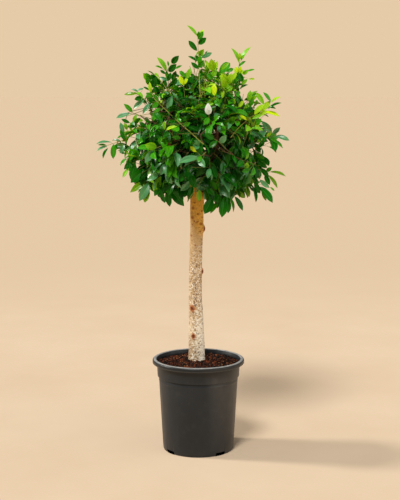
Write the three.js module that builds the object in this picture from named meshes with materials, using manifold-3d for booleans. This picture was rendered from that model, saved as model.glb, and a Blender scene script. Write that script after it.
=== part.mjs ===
// Standard ("lollipop") topiary: a clear-stemmed small-leaved fig in a round nursery pot.
// Millimetres, +Z up.  The origin is the centre of the pot's flat underside, -Y is the front.
import * as THREE from 'three';
import { mergeVertices } from 'three/addons/utils/BufferGeometryUtils.js';
import Module from 'manifold-3d';

const wasm = await Module();
wasm.setup();

// ---------------------------------------------------------------- driving dimensions
const GAP = 0.3;              // space left between touching pieces
const HEIGHT = 1420;          // ground to the topmost leaf tip

const POT = {
  segments: 32,
  rimRadius: 155,             // outside of the rolled rim
  height: 312.5,              // ground to the crest of the rim
  rimDrop: 15.5,              // crest to the rim's lower edge
  collarRadius: 140.3,        // collar just under the rim
  collarFootRadius: 138.2,
  collarFoot: 250,            // height at which the collar steps in
  bodyRadius: 133.9,          // body just under the collar
  baseRadius: 119.4,
  baseCorner: 4,
  wall: 2.6,
  floor: 10,                  // height of the raised floor's underside
  floorThickness: 3,
  skirtWidth: 12,             // ring the pot stands on
  centreFoot: 42,             // radius of the flat foot in the middle of the base
  notches: 4,                 // drainage notches through the skirt
  notchAngle: -51.6,          // first notch, degrees from the front
  notchWidth: 34,
};

const COMPOST = { edge: 288, middle: 304, flatRadius: 40 };

// centreline offset and radius of the stem against height
const TRUNK = {
  sides: 12,
  steps: 13,
  stations: [
    { z: 304, x: -5.0, y: 0.0, r: 28.6 },
    { z: 330, x: -4.7, y: 0.3, r: 27.6 },
    { z: 440, x: -5.7, y: 1.5, r: 24.6 },
    { z: 550, x: -8.6, y: 2.4, r: 21.5 },
    { z: 680, x: -6.8, y: 2.0, r: 20.2 },
    { z: 800, x: -6.6, y: 0.6, r: 19.0 },
    { z: 846, x: -6.2, y: 0.0, r: 20.0 },
    { z: 872, x: -5.0, y: 0.0, r: 24.0 },
  ],
  // pruned-off shoots: height, direction in degrees (0 = +X, 270 = front), how proud
  knots: [
    { z: 752, at: -12, proud: 4.0 },
    { z: 609, at: -25, proud: 3.2 },
    { z: 480, at: 226, proud: 3.0 },
    { z: 389, at: 240, proud: 3.0 },
    { z: 650, at: 110, proud: 3.0 },
  ],
};

const CROWN = {
  x: -3, y: 0, z: 1072,       // middle of the ball
  hollow: 108,                // radius of the leafless middle where the boughs run
  stemClear: 46,              // half-width of the opening round the stem, at the fork
  stemClearSlope: 0.42,       // it widens upwards to the leafless middle
  clearFrom: 850,
  lump: 0.028,                // broad unevenness of the ball
  tuft: 0.040,                // finer unevenness of every mass
  underside: 0.13,            // how much flatter the ball is underneath
  scatter: 0.13,              // how far the masses stray from even rings
  rounding: 30,               // how softly neighbouring masses roll into each other
  between: 2.2,               // half the space between two masses
  detail: 3,
};

// rings of foliage masses round the middle of the crown: each mass has its own reach
const RINGS = [
  { level: 'upper', elevation: 44, start: 270,
    reach: { front: 226, right: 224, back_right: 236, back_left: 230, left: 229 } },
  { level: 'middle', elevation: -2, start: 240,
    reach: { front_left: 250, front_right: 244, right: 250, back_right: 254, back_left: 257, left: 258 } },
  { level: 'lower', elevation: -46, start: 306,
    reach: { front_right: 264, back_right: 266, back: 264, back_left: 268, front_left: 262 } },
];
const TOP_REACH = 243;

// shoots that stand out of the ball: foot, tip and fattest half-width
const SPRAYS = {
  spray_leader:      { from: [6, -62, 1250], via: [6, -54, 1335], to: [-30, -50, HEIGHT], fat: 33 },
  spray_upper_right: { from: [112, -34, 1235], via: [126, -40, 1300], to: [160, -46, 1352], fat: 36 },
  spray_upper_left:  { from: [-80, -20, 1240], via: [-96, -26, 1285], to: [-112, -30, 1324], fat: 44 },
  spray_left_high:   { from: [-170, -30, 1130], via: [-218, -38, 1152], to: [-262, -44, 1172], fat: 40 },
  spray_far_left:    { from: [-200, -40, 1056], via: [-270, -52, 1048], to: [-334, -60, 1008], fat: 36 },
  spray_right_high:  { from: [170, -70, 1120], via: [222, -84, 1156], to: [276, -96, 1182], fat: 38 },
  spray_far_right:   { from: [200, -20, 1050], via: [246, -24, 1052], to: [302, -28, 1042], fat: 38 },
  spray_low_right:   { from: [190, -10, 960], via: [238, -12, 934], to: [288, -14, 912], fat: 40 },
  spray_low_front:   { from: [86, -80, 915], via: [92, -88, 860], to: [82, -92, 797], fat: 44 },
  spray_low_corner:  { from: [176, -40, 930], via: [210, -46, 880], to: [242, -50, 836], fat: 38 },
  spray_low_left:    { from: [-150, -40, 920], via: [-176, -46, 878], to: [-202, -50, 834], fat: 40 },
  spray_back_high:   { from: [-40, 170, 1180], via: [-48, 216, 1218], to: [-60, 250, 1262], fat: 38 },
  spray_back_right:  { from: [150, 160, 1090], via: [190, 198, 1100], to: [226, 226, 1086], fat: 38 },
  spray_back_left:   { from: [-130, 150, 990], via: [-168, 196, 972], to: [-196, 224, 944], fat: 38 },
};

// boughs: direction in degrees, final lean from the vertical, run, radius at the fork and at the tip
const BOUGHS = {
  bough_centre:          { at: 60, lean: 4, run: 330, r0: 11.0, r1: 5.5, off: 3 },
  bough_left:            { at: 176, lean: 26, run: 300, r0: 10.0, r1: 5.0, off: 9 },
  bough_right:           { at: 352, lean: 38, run: 280, r0: 11.5, r1: 5.0, off: 10 },
  bough_front_left:      { at: 232, lean: 42, run: 250, r0: 8.5, r1: 4.5, off: 11 },
  bough_front_right:     { at: 300, lean: 34, run: 270, r0: 8.5, r1: 4.5, off: 10 },
  bough_back_left:       { at: 124, lean: 44, run: 250, r0: 8.5, r1: 4.5, off: 11 },
  bough_back_right:      { at: 40, lean: 40, run: 260, r0: 8.5, r1: 4.5, off: 11 },
  bough_low_left:        { at: 200, lean: 66, run: 130, r0: 6.0, r1: 4.0, off: 17, drop: 26 },
  bough_low_right:       { at: 330, lean: 62, run: 130, r0: 6.5, r1: 4.0, off: 17, drop: 22 },
  bough_low_back:        { at: 84, lean: 64, run: 130, r0: 6.0, r1: 4.0, off: 17, drop: 18 },
};

const COLOURS = {
  pot: 0x31302e, compost: 0x54301f, trunk: 0xbd9b72, bough: 0x8c5c36,
  leaves: [0x2f6a17, 0x3a7a1c, 0x275a14, 0x46861f, 0x347018],
  shoots: [0x7fa928, 0x93b82f, 0x6d9a24],
};

// ---------------------------------------------------------------- helpers
const rad = (d) => THREE.MathUtils.degToRad(d);
const V = (x, y, z) => new THREE.Vector3(x, y, z);
const random = ((seed) => () => {
  seed = (seed * 1664525 + 1013904223) >>> 0;
  return seed / 4294967296;
})(20417);

// only positions, with shared vertices
function bare(geometry) {
  for (const name of ['normal', 'uv']) geometry.deleteAttribute(name);
  return mergeVertices(geometry, 1e-3);
}

function toSolid(geometry) {
  const g = bare(geometry);
  return new wasm.Manifold(new wasm.Mesh({
    numProp: 3,
    vertProperties: new Float32Array(g.attributes.position.array),
    triVerts: new Uint32Array(g.index.array),
  }));
}

function toGeometry(solid) {
  const mesh = solid.getMesh();
  const g = new THREE.BufferGeometry();
  g.setAttribute('position', new THREE.BufferAttribute(new Float32Array(mesh.vertProperties), 3));
  g.setIndex(new THREE.BufferAttribute(new Uint32Array(mesh.triVerts), 1));
  return g;
}

// the piece left of a solid once others are taken away, without the loose offcuts
function biggest(solid) {
  const size = (s) => (typeof s.volume === 'function' ? s.volume() : s.getProperties().volume);
  return solid.decompose().reduce((a, b) => (size(b) > size(a) ? b : a));
}

const without = (solid, others) => biggest(biggest(others.reduce((s, o) => s.subtract(o), solid)).simplify(0.9));

// a closed tapering limb: a cylinder carried along a curve
function limb(points, radiusAt, sides, steps) {
  const curve = new THREE.CatmullRomCurve3(points, false, 'centripetal');
  const frames = curve.computeFrenetFrames(steps, false);
  const g = bare(new THREE.CylinderGeometry(1, 1, 1, sides, steps));
  const p = g.attributes.position;
  for (let i = 0; i < p.count; i++) {
    const t = p.getY(i) + 0.5;
    const k = Math.min(steps, Math.max(0, Math.round(t * steps)));
    const c = curve.getPointAt(k / steps);
    const n = frames.normals[k];
    const b = frames.binormals[k];
    const out = n.clone().multiplyScalar(p.getX(i)).addScaledVector(b, -p.getZ(i));
    const r = out.lengthSq() > 1e-9 ? radiusAt(k / steps, out.clone().normalize(), c) : 0;
    c.addScaledVector(out, r);
    p.setXYZ(i, c.x, c.y, c.z);
  }
  return g;
}

// a soft minimum of distances, so that cells have rounded edges
function softMin(values, k) {
  let m = Infinity;
  for (const v of values) {
    const h = Math.max(k - Math.abs(m - v), 0) / k;
    m = Math.min(m, v) - (Number.isFinite(m) ? (h * h * k) / 4 : 0);
  }
  return m;
}

const middle = V(CROWN.x, CROWN.y, CROWN.z);
const heading = (azimuth, elevation) => V(
  Math.cos(rad(azimuth)) * Math.cos(rad(elevation)),
  Math.sin(rad(azimuth)) * Math.cos(rad(elevation)),
  Math.sin(rad(elevation)),
);

// gentle lumps over the whole crown, as a function of direction
const waves = Array.from({ length: 9 }, () => ({
  k: V(random() - 0.5, random() - 0.5, random() - 0.5).normalize().multiplyScalar(5 + 8 * random()),
  phase: random() * Math.PI * 2,
}));
const lumps = (n) => waves.reduce((s, w) => s + Math.sin(n.dot(w.k) + w.phase), 0) / 3;
const tufts = Array.from({ length: 7 }, () => ({
  k: V(random() - 0.5, random() - 0.5, random() - 0.5).normalize().multiplyScalar(17 + 9 * random()),
  phase: random() * Math.PI * 2,
}));
const tufty = (n) => tufts.reduce((s, w) => s + Math.sin(n.dot(w.k) + w.phase), 0) / 2.6;

// ---------------------------------------------------------------- pot
function potSolid() {
  const P = POT;
  const crest = P.height;
  const under = crest - P.rimDrop;
  const slope = (P.bodyRadius - P.baseRadius) / P.collarFoot;
  const floorTop = P.floor + P.floorThickness;
  const profile = [
    [0, 0], [P.centreFoot, 0], [P.centreFoot + 2.5, P.floor],
    [P.baseRadius - P.skirtWidth - 1.5, P.floor], [P.baseRadius - P.skirtWidth, 0],
    [P.baseRadius - P.baseCorner, 0], [P.baseRadius, P.baseCorner + 1],
    [P.bodyRadius, P.collarFoot - 5], [P.collarFootRadius, P.collarFoot],
    [P.collarRadius, under], [P.rimRadius - 2, under - 0.5], [P.rimRadius, under + 2.5],
    [P.rimRadius, crest - 6], [P.rimRadius - 3, crest - 2.5], [P.rimRadius - 7.5, crest],
    [P.collarRadius + 3.2, crest - 1], [P.collarRadius + 0.8, crest - 5],
    [P.collarFootRadius - P.wall, P.collarFoot + 1], [P.bodyRadius - P.wall, P.collarFoot - 6],
    [P.baseRadius - P.wall + slope * floorTop, floorTop + 2],
    [P.baseRadius - P.wall - 2, floorTop], [0, floorTop],
  ].map(([r, z]) => new THREE.Vector2(r, z));
  const shell = new THREE.LatheGeometry(profile, P.segments);
  shell.rotateX(Math.PI / 2);           // the lathe turns about Y: stand it up
  let solid = toSolid(shell);
  for (let i = 0; i < P.notches; i++) {
    const a = rad(P.notchAngle + (360 / P.notches) * i);
    const cut = new THREE.BoxGeometry(P.notchWidth, P.skirtWidth + 8, P.floor + 10);
    cut.translate(0, -(P.baseRadius - P.skirtWidth / 2), P.floor / 2 - 5);
    cut.rotateZ(a);
    solid = solid.subtract(toSolid(cut));
  }
  return solid.simplify(0.02);
}

function compostGeometry() {
  const P = POT;
  const C = COMPOST;
  const floorTop = P.floor + P.floorThickness;
  const wallAt = (z) => (z < P.collarFoot - 6
    ? THREE.MathUtils.mapLinear(z, floorTop + 2, P.collarFoot - 6,
      P.baseRadius - P.wall + (P.bodyRadius - P.baseRadius) / P.collarFoot * floorTop, P.bodyRadius - P.wall)
    : THREE.MathUtils.mapLinear(z, P.collarFoot + 1, P.height - 5,
      P.collarFootRadius - P.wall, P.collarRadius + 0.8));
  const keep = 1.2;          // the pot is faceted, so its wall comes in a little between corners
  const profile = [
    [0, floorTop + GAP], [P.baseRadius - P.wall - 4, floorTop + GAP],
    [wallAt(floorTop + 2) - keep, floorTop + 4],
    [P.bodyRadius - P.wall - keep - 0.3, P.collarFoot - 6],
    [P.collarFootRadius - P.wall - keep - 0.3, P.collarFoot + 3],
    [wallAt(C.edge) - keep, C.edge],
    [104, C.edge + 6], [60, C.middle - 4],
    [C.flatRadius, C.middle - GAP], [0, C.middle - GAP],
  ].map(([r, z]) => new THREE.Vector2(r, z));
  const g = new THREE.LatheGeometry(profile, 18);
  g.rotateX(Math.PI / 2);
  return g;
}

// ---------------------------------------------------------------- stem
function stationAt(z) {
  const s = TRUNK.stations;
  let i = 0;
  while (i < s.length - 2 && z > s[i + 1].z) i++;
  const t = THREE.MathUtils.clamp((z - s[i].z) / (s[i + 1].z - s[i].z), 0, 1);
  const mix = (k) => THREE.MathUtils.lerp(s[i][k], s[i + 1][k], t);
  return { x: mix('x'), y: mix('y'), r: mix('r') };
}

function trunkGeometry(extra = 0) {
  const s = TRUNK.stations;
  const g = bare(new THREE.CylinderGeometry(1, 1, 1, TRUNK.sides, TRUNK.steps));
  g.rotateX(Math.PI / 2);
  const z0 = s[0].z;
  const z1 = s[s.length - 1].z;
  const p = g.attributes.position;
  for (let i = 0; i < p.count; i++) {
    const t = p.getZ(i) + 0.5;
    const z = THREE.MathUtils.lerp(z0, z1, t);
    const at = stationAt(z);
    const a = Math.atan2(p.getY(i), p.getX(i));
    let r = at.r * (1 + 0.02 * Math.sin(2 * a + z / 90) + 0.012 * Math.sin(3 * a - z / 55));
    for (const k of TRUNK.knots) {
      const da = Math.abs(((THREE.MathUtils.radToDeg(a) - k.at + 540) % 360) - 180);
      r += k.proud * Math.exp(-((da / 16) ** 2) - (((z - k.z) / 14) ** 2));
    }
    const far = Math.hypot(p.getX(i), p.getY(i)) > 0.5 ? r + extra : 0;
    const ends = (t < 1e-6 ? -extra : 0) + (t > 1 - 1e-6 ? extra : 0);
    p.setXYZ(i, at.x + Math.cos(a) * far, at.y + Math.sin(a) * far, z + ends);
  }
  return g;
}

// ---------------------------------------------------------------- foliage masses
const masses = [{ name: 'foliage_top', way: heading(0, 90), reach: TOP_REACH }];
for (const ring of RINGS) {
  const names = Object.keys(ring.reach);
  names.forEach((side, i) => masses.push({
    name: `foliage_${ring.level}_${side}`,
    way: heading(ring.start + (360 / names.length) * i, ring.elevation)
      .add(V(random() - 0.5, random() - 0.5, random() - 0.5).multiplyScalar(2 * CROWN.scatter)).normalize(),
    reach: ring.reach[side],
  }));
}

// how far inside mass m a point is
function depthIn(m, p) {
  const v = p.clone().sub(middle);
  const r = v.length();
  const n = v.clone().divideScalar(r || 1);
  const flat = CROWN.underside * THREE.MathUtils.smoothstep(-n.z, 0.66, 1);
  const d = [m.reach * (1 - flat + CROWN.lump * lumps(n) + CROWN.tuft * tufty(n)) - r, r - CROWN.hollow];
  for (const o of masses) {
    if (o === m) continue;
    d.push(v.dot(m.way.clone().sub(o.way).normalize()) - CROWN.between);
  }
  if (p.z < CROWN.z) {
    const clear = CROWN.stemClear + Math.max(0, p.z - CROWN.clearFrom) * CROWN.stemClearSlope;
    d.push(Math.hypot(p.x - CROWN.x, p.y - CROWN.y) - clear);
  }
  return softMin(d.sort((a, b) => a - b).slice(0, 4), CROWN.rounding);
}

function massGeometry(m, extra = 0) {
  const heart = middle.clone().addScaledVector(m.way, m.heart ?? (m.reach + CROWN.hollow) / 2);
  if (m.way.z < -0.5) heart.add(V(m.way.x, m.way.y, 0).normalize().multiplyScalar(12));
  const g = bare(new THREE.IcosahedronGeometry(1, CROWN.detail));
  const p = g.attributes.position;
  for (let i = 0; i < p.count; i++) {
    const way = V(p.getX(i), p.getY(i), p.getZ(i)).normalize();
    const at = (t) => heart.clone().addScaledVector(way, t);
    let hi = 4;
    while (depthIn(m, at(hi)) > 0 && hi < 400) hi += 4;
    let lo = hi - 4;
    for (let k = 0; k < 16; k++) {
      const mid = (lo + hi) / 2;
      if (depthIn(m, at(mid)) > 0) lo = mid; else hi = mid;
    }
    const q = at(lo + extra);
    p.setXYZ(i, q.x, q.y, q.z);
  }
  return g;
}

// ---------------------------------------------------------------- assembly
const group = new THREE.Group();
function add(name, geometry, color, roughness) {
  const mesh = new THREE.Mesh(geometry, new THREE.MeshStandardMaterial({ color, roughness, metalness: 0 }));
  mesh.name = name;
  group.add(mesh);
  return mesh;
}

add('pot', toGeometry(potSolid()), COLOURS.pot, 0.55);
add('compost', bare(compostGeometry()), COLOURS.compost, 0.95);
add('trunk', trunkGeometry(), COLOURS.trunk, 0.85);

const massSolids = masses.map((m) => toSolid(massGeometry(m)).simplify(2.5));
const massRoom = masses.map((m) => toSolid(massGeometry(m, 3.6)));
masses.forEach((m, i) => add(m.name, toGeometry(massSolids[i]), COLOURS.leaves[i % COLOURS.leaves.length], 0.6));

// boughs leave the top of the stem, keep clear of each other and end at the masses
const fork = TRUNK.stations[TRUNK.stations.length - 1];
const taken = [toSolid(trunkGeometry(1.4))];
for (const [name, b] of Object.entries(BOUGHS)) {
  const out = heading(b.at, 0);
  const foot = V(fork.x, fork.y, fork.z + 4 - (b.drop ?? 0)).addScaledVector(out, b.off);
  const points = [foot.clone().addScaledVector(out, -b.off * 0.35).add(V(0, 0, -16)), foot];
  for (let k = 1; k <= 4; k++) {
    const t = k / 4;
    const lean = rad(b.lean) * (1.15 - 0.3 * t);
    points.push(foot.clone()
      .addScaledVector(out, b.run * t * Math.sin(lean))
      .add(V(0, 0, b.run * t * Math.cos(lean)))
      .addScaledVector(heading(b.at + 90, 0), 9 * Math.sin(t * 5 + b.at)));
  }
  const radius = (grow) => (t) => THREE.MathUtils.lerp(b.r0, b.r1, t) * (1 + 0.18 * Math.max(0, 1 - t * 7)) + grow;
  const solid = without(toSolid(limb(points, radius(0), 6, 6)), [...taken, ...massRoom]);
  taken.push(toSolid(limb(points, radius(1.6), 6, 6)));
  add(name, toGeometry(solid), COLOURS.bough, 0.85);
}

// shoots: uneven spindles standing out of the ball
const sprayTaken = [...massRoom];
Object.entries(SPRAYS).forEach(([name, s], i) => {
  const points = [V(...s.from), V(...s.via), V(...s.to)];
  const shape = (grow) => (t, way) => {
    const spindle = Math.pow(Math.sin(Math.PI * Math.min(0.97, 0.12 + 0.86 * t)), 0.8);
    const uneven = 1 + 0.22 * Math.sin(way.x * 3.1 + way.z * 2.3 + t * 9 + i * 1.7);
    return Math.max(2.5, s.fat * spindle * uneven) + grow;
  };
  const solid = without(toSolid(limb(points, shape(0), 7, 5)), sprayTaken);
  sprayTaken.push(toSolid(limb(points, shape(1.6), 7, 5)));
  add(name, toGeometry(solid), COLOURS.shoots[i % COLOURS.shoots.length], 0.55);
});

export default group;
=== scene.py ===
"""A potted standard ("lollipop") fig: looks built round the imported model. Metres, +Z up, front is -Y."""

import math

import bpy
import numpy as np
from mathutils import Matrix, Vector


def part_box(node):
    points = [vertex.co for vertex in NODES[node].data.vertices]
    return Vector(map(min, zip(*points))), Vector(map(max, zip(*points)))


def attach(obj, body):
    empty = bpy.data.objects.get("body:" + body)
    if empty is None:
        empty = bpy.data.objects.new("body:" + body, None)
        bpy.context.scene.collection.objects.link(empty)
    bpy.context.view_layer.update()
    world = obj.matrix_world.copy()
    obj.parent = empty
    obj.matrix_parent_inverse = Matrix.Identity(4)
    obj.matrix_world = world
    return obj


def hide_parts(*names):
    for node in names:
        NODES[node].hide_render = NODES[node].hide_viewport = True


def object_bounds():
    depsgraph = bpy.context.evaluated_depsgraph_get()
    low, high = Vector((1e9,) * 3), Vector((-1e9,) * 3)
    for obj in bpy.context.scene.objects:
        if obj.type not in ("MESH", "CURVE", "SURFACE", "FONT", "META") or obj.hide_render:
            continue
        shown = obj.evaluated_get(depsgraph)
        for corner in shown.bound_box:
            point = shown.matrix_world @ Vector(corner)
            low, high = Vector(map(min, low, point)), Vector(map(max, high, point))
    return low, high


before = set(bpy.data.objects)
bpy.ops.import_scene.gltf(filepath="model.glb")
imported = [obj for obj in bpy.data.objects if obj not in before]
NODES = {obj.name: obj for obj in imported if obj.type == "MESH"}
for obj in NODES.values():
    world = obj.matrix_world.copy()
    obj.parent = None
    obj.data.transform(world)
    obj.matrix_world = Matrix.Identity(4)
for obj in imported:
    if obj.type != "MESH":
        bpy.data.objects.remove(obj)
CAD_BOX = [[float(c) for c in corner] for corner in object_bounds()]
TAU = 2 * math.pi
rng = np.random.default_rng(48213)
RIM_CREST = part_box("pot")[1].z
MIDDLE = np.array([-0.003, 0.0, 1.072])      # middle of the crown
SCENE = bpy.context.scene


# ------------------------------------------------------------------ small helpers
def unit(v):
    v = np.asarray(v, float)
    return v / np.maximum(np.linalg.norm(v, axis=-1, keepdims=True), 1e-12)


def smooth01(x, a, b):
    t = np.clip((np.asarray(x, float) - a) / (b - a), 0, 1)
    return t * t * (3 - 2 * t)


def hash01(ix, iy, iz, seed):
    """A repeatable random number in 0..1 for each lattice point."""
    h = (ix.astype(np.int64) * 374761393 + iy.astype(np.int64) * 668265263
         + iz.astype(np.int64) * 2147483647 + seed * 144269504) & 0xFFFFFFFF
    h = ((h ^ (h >> 13)) * 1274126177) & 0xFFFFFFFF
    h = ((h ^ (h >> 16)) * 2246822519) & 0xFFFFFFFF
    return ((h ^ (h >> 15)) & 0xFFFFFF) / float(0xFFFFFF)


def noise3(p, seed=0):
    """Smooth value noise, -1..1."""
    p = np.asarray(p, float)
    i = np.floor(p).astype(np.int64)
    f = p - i
    u = f * f * f * (f * (f * 6 - 15) + 10)
    total = 0
    for dx in (0, 1):
        for dy in (0, 1):
            for dz in (0, 1):
                w = ((u[:, 0] if dx else 1 - u[:, 0]) * (u[:, 1] if dy else 1 - u[:, 1])
                     * (u[:, 2] if dz else 1 - u[:, 2]))
                total = total + w * hash01(i[:, 0] + dx, i[:, 1] + dy, i[:, 2] + dz, seed)
    return total * 2 - 1


def fbm(p, octaves=3, seed=0):
    total, amp, norm = 0, 1.0, 0.0
    for k in range(octaves):
        total = total + amp * noise3(p * (2 ** k), seed + 17 * k)
        norm += amp
        amp *= 0.5
    return total / norm


def mesh_object(name, verts, quads=None, tris=None, materials=(), quad_mat=None, tri_mat=None, smooth=True):
    """A mesh from arrays of corners."""
    me = bpy.data.meshes.new(name)
    verts = np.ascontiguousarray(verts, np.float32).reshape(-1, 3)
    quads = np.zeros((0, 4), np.int32) if quads is None else np.asarray(quads, np.int32).reshape(-1, 4)
    tris = np.zeros((0, 3), np.int32) if tris is None else np.asarray(tris, np.int32).reshape(-1, 3)
    me.vertices.add(len(verts))
    me.vertices.foreach_set("co", verts.ravel())
    me.loops.add(quads.size + tris.size)
    me.loops.foreach_set("vertex_index", np.concatenate([quads.ravel(), tris.ravel()]).astype(np.int32))
    me.polygons.add(len(quads) + len(tris))
    start = np.concatenate([np.arange(len(quads)) * 4, quads.size + np.arange(len(tris)) * 3]).astype(np.int32)
    me.polygons.foreach_set("loop_start", start)
    if quad_mat is not None or tri_mat is not None:
        mats = np.concatenate([
            np.zeros(len(quads), np.int32) if quad_mat is None else np.asarray(quad_mat, np.int32),
            np.zeros(len(tris), np.int32) if tri_mat is None else np.asarray(tri_mat, np.int32)])
        me.polygons.foreach_set("material_index", mats)
    me.update(calc_edges=True)
    me.validate()
    if smooth:
        me.polygons.foreach_set("use_smooth", np.ones(len(me.polygons), bool))
    for m in materials:
        me.materials.append(m)
    ob = bpy.data.objects.new(name, me)
    SCENE.collection.objects.link(ob)
    return ob


def piece(ob, slot, *nodes):
    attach(ob, "root")
    if nodes:
        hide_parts(*nodes)
    return ob


def srgb(r, g, b):
    """A colour given as 0..255 screen values, in linear numbers."""
    out = []
    for c in (r, g, b):
        c = c / 255.0
        out.append(c / 12.92 if c <= 0.04045 else ((c + 0.055) / 1.055) ** 2.4)
    return (*out, 1.0)


def plain(name, color, rough=0.5, spec=0.5, coat=0.0, coat_rough=0.2, sub=0.0, sheen=0.0):
    """A finish whose colour is the same all over: for leaves dealt out by kind."""
    m = bpy.data.materials.new(name)
    m.use_nodes = True
    b = m.node_tree.nodes["Principled BSDF"]
    b.inputs["Base Color"].default_value = color
    b.inputs["Roughness"].default_value = rough
    b.inputs["Specular IOR Level"].default_value = spec
    b.inputs["Coat Weight"].default_value = coat
    b.inputs["Coat Roughness"].default_value = coat_rough
    if sub:
        b.inputs["Subsurface Weight"].default_value = sub
        b.inputs["Subsurface Radius"].default_value = (0.8, 1.0, 0.2)
        b.inputs["Subsurface Scale"].default_value = 0.004
    if sheen:
        b.inputs["Sheen Weight"].default_value = sheen
    m.diffuse_color = color
    return m


class Nodes:
    """Short hand for building a node tree."""

    def __init__(self, name):
        self.m = bpy.data.materials.new(name)
        self.m.use_nodes = True
        self.t = self.m.node_tree
        self.b = self.t.nodes["Principled BSDF"]

    def add(self, kind, **values):
        n = self.t.nodes.new(kind)
        for k, v in values.items():
            if hasattr(n, k) and k not in n.inputs:
                setattr(n, k, v)
            else:
                n.inputs[k].default_value = v
        return n

    def link(self, a, b):
        self.t.links.new(a, b)

    def coords(self, scale=(1, 1, 1)):
        c = self.add("ShaderNodeTexCoord")
        mp = self.add("ShaderNodeMapping")
        mp.inputs["Scale"].default_value = scale
        self.link(c.outputs["Object"], mp.inputs["Vector"])
        return mp.outputs["Vector"]

    def noise(self, vec, scale, detail=3.0, rough=0.55, distortion=0.0):
        n = self.add("ShaderNodeTexNoise")
        n.inputs["Scale"].default_value = scale
        n.inputs["Detail"].default_value = detail
        n.inputs["Roughness"].default_value = rough
        n.inputs["Distortion"].default_value = distortion
        self.link(vec, n.inputs["Vector"])
        return n.outputs["Fac"]

    def ramp(self, fac, stops, interpolation="LINEAR"):
        r = self.add("ShaderNodeValToRGB")
        r.color_ramp.interpolation = interpolation
        e = r.color_ramp.elements
        while len(e) < len(stops):
            e.new(0.5)
        for el, (pos, col) in zip(e, stops):
            el.position = pos
            el.color = col if hasattr(col, "__len__") else (col, col, col, 1)
        self.link(fac, r.inputs["Fac"])
        return r.outputs["Color"]

    def mix(self, fac, a, b, blend="MIX"):
        n = self.add("ShaderNodeMix")
        n.data_type = "RGBA"
        n.blend_type = blend
        for sock, val in ((n.inputs[0], fac), (n.inputs[6], a), (n.inputs[7], b)):
            if hasattr(val, "is_linked"):
                self.link(val, sock)
            else:
                sock.default_value = val
        return n.outputs[2]

    def maths(self, op, a, b=0.5, clamp=False):
        n = self.add("ShaderNodeMath")
        n.operation = op
        n.use_clamp = clamp
        for sock, val in ((n.inputs[0], a), (n.inputs[1], b)):
            if hasattr(val, "is_linked"):
                self.link(val, sock)
            else:
                sock.default_value = val
        return n.outputs[0]

    def attribute(self, name):
        n = self.add("ShaderNodeAttribute")
        n.attribute_name = name
        return n.outputs["Fac"]

    def bump(self, height, strength=0.3, distance=0.001):
        n = self.add("ShaderNodeBump")
        n.inputs["Strength"].default_value = strength
        n.inputs["Distance"].default_value = distance
        self.link(height, n.inputs["Height"])
        self.link(n.outputs["Normal"], self.b.inputs["Normal"])


def mottled(name, color, low, high, scale, rough, spec):
    """A finish that varies finely about one colour."""
    n = Nodes(name)
    fac = n.noise(n.coords(), scale, 4.0, 0.65)
    shade = [tuple(min(1.0, c * k) for c in color[:3]) + (1.0,) for k in (low, 1.0, high)]
    n.link(n.ramp(fac, [(0.30, shade[0]), (0.50, shade[1]), (0.70, shade[2])]), n.b.inputs["Base Color"])
    n.b.inputs["Roughness"].default_value = rough
    n.b.inputs["Specular IOR Level"].default_value = spec
    n.bump(fac, 0.35, 0.0008)
    return n.m


# ------------------------------------------------------------------ camera, light, floor
cam_data = bpy.data.cameras.new("camera")
cam_data.sensor_fit = "AUTO"
cam_data.sensor_width = 24.0
cam_data.lens = 1147.187 / 500 * 24.0
cam_data.clip_start, cam_data.clip_end = 0.05, 400
cam = bpy.data.objects.new("camera", cam_data)
cam.location = (0.0056, -3.8, 1.2111)
cam.rotation_euler = (math.pi / 2 - 0.13859, 0, 0)
SCENE.collection.objects.link(cam)
SCENE.camera = cam
SCENE.view_settings.view_transform = "Standard"
SCENE.view_settings.look = "None"

world = bpy.data.worlds.new("studio")
SCENE.world = world
world.use_nodes = True
wt = world.node_tree
wt.nodes.clear()


def world_light():
    """A soft room: brightest overhead and to the left, dimmer behind the viewer; seen directly it is plain."""
    new, link = wt.nodes.new, wt.links.new
    tc, sep = new("ShaderNodeTexCoord"), new("ShaderNodeSeparateXYZ")
    link(tc.outputs["Generated"], sep.inputs[0])

    def m(op, a, b, c=None):
        n = new("ShaderNodeMath")
        n.operation = op
        for s, v in zip(n.inputs, (a, b) if c is None else (a, b, c)):
            if hasattr(v, "is_linked"):
                link(v, s)
            else:
                s.default_value = v
        return n.outputs[0]

    up = m("MAXIMUM", sep.outputs["Z"], 0.0)
    level = m("MULTIPLY_ADD", up, WORLD["overhead"], WORLD["level"])
    level = m("ADD", level, m("MULTIPLY", sep.outputs["X"], -WORLD["left"]))
    level = m("ADD", level, m("MULTIPLY", sep.outputs["Y"], WORLD["back"]))
    level = m("ADD", level, m("MULTIPLY", m("POWER", m("MAXIMUM", sep.outputs["X"], 0.0), 4.0), WORLD["right"]))
    level = m("MAXIMUM", level, 0.02)
    lit, seen, mix, lp, out = (new("ShaderNodeBackground"), new("ShaderNodeBackground"), new("ShaderNodeMixShader"),
                               new("ShaderNodeLightPath"), new("ShaderNodeOutputWorld"))
    lit.inputs["Color"].default_value = WORLD["color"]
    link(level, lit.inputs["Strength"])
    seen.inputs["Color"].default_value = srgb(*WORLD["seen"])
    link(lp.outputs["Is Camera Ray"], mix.inputs[0])
    link(lit.outputs[0], mix.inputs[1])
    link(seen.outputs[0], mix.inputs[2])
    link(mix.outputs[0], out.inputs["Surface"])


WORLD = dict(level=0.085, overhead=0.22, left=0.05, back=0.05, right=0.40, color=(1.0, 0.975, 0.935, 1), seen=(230, 203, 168))
world_light()


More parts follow.
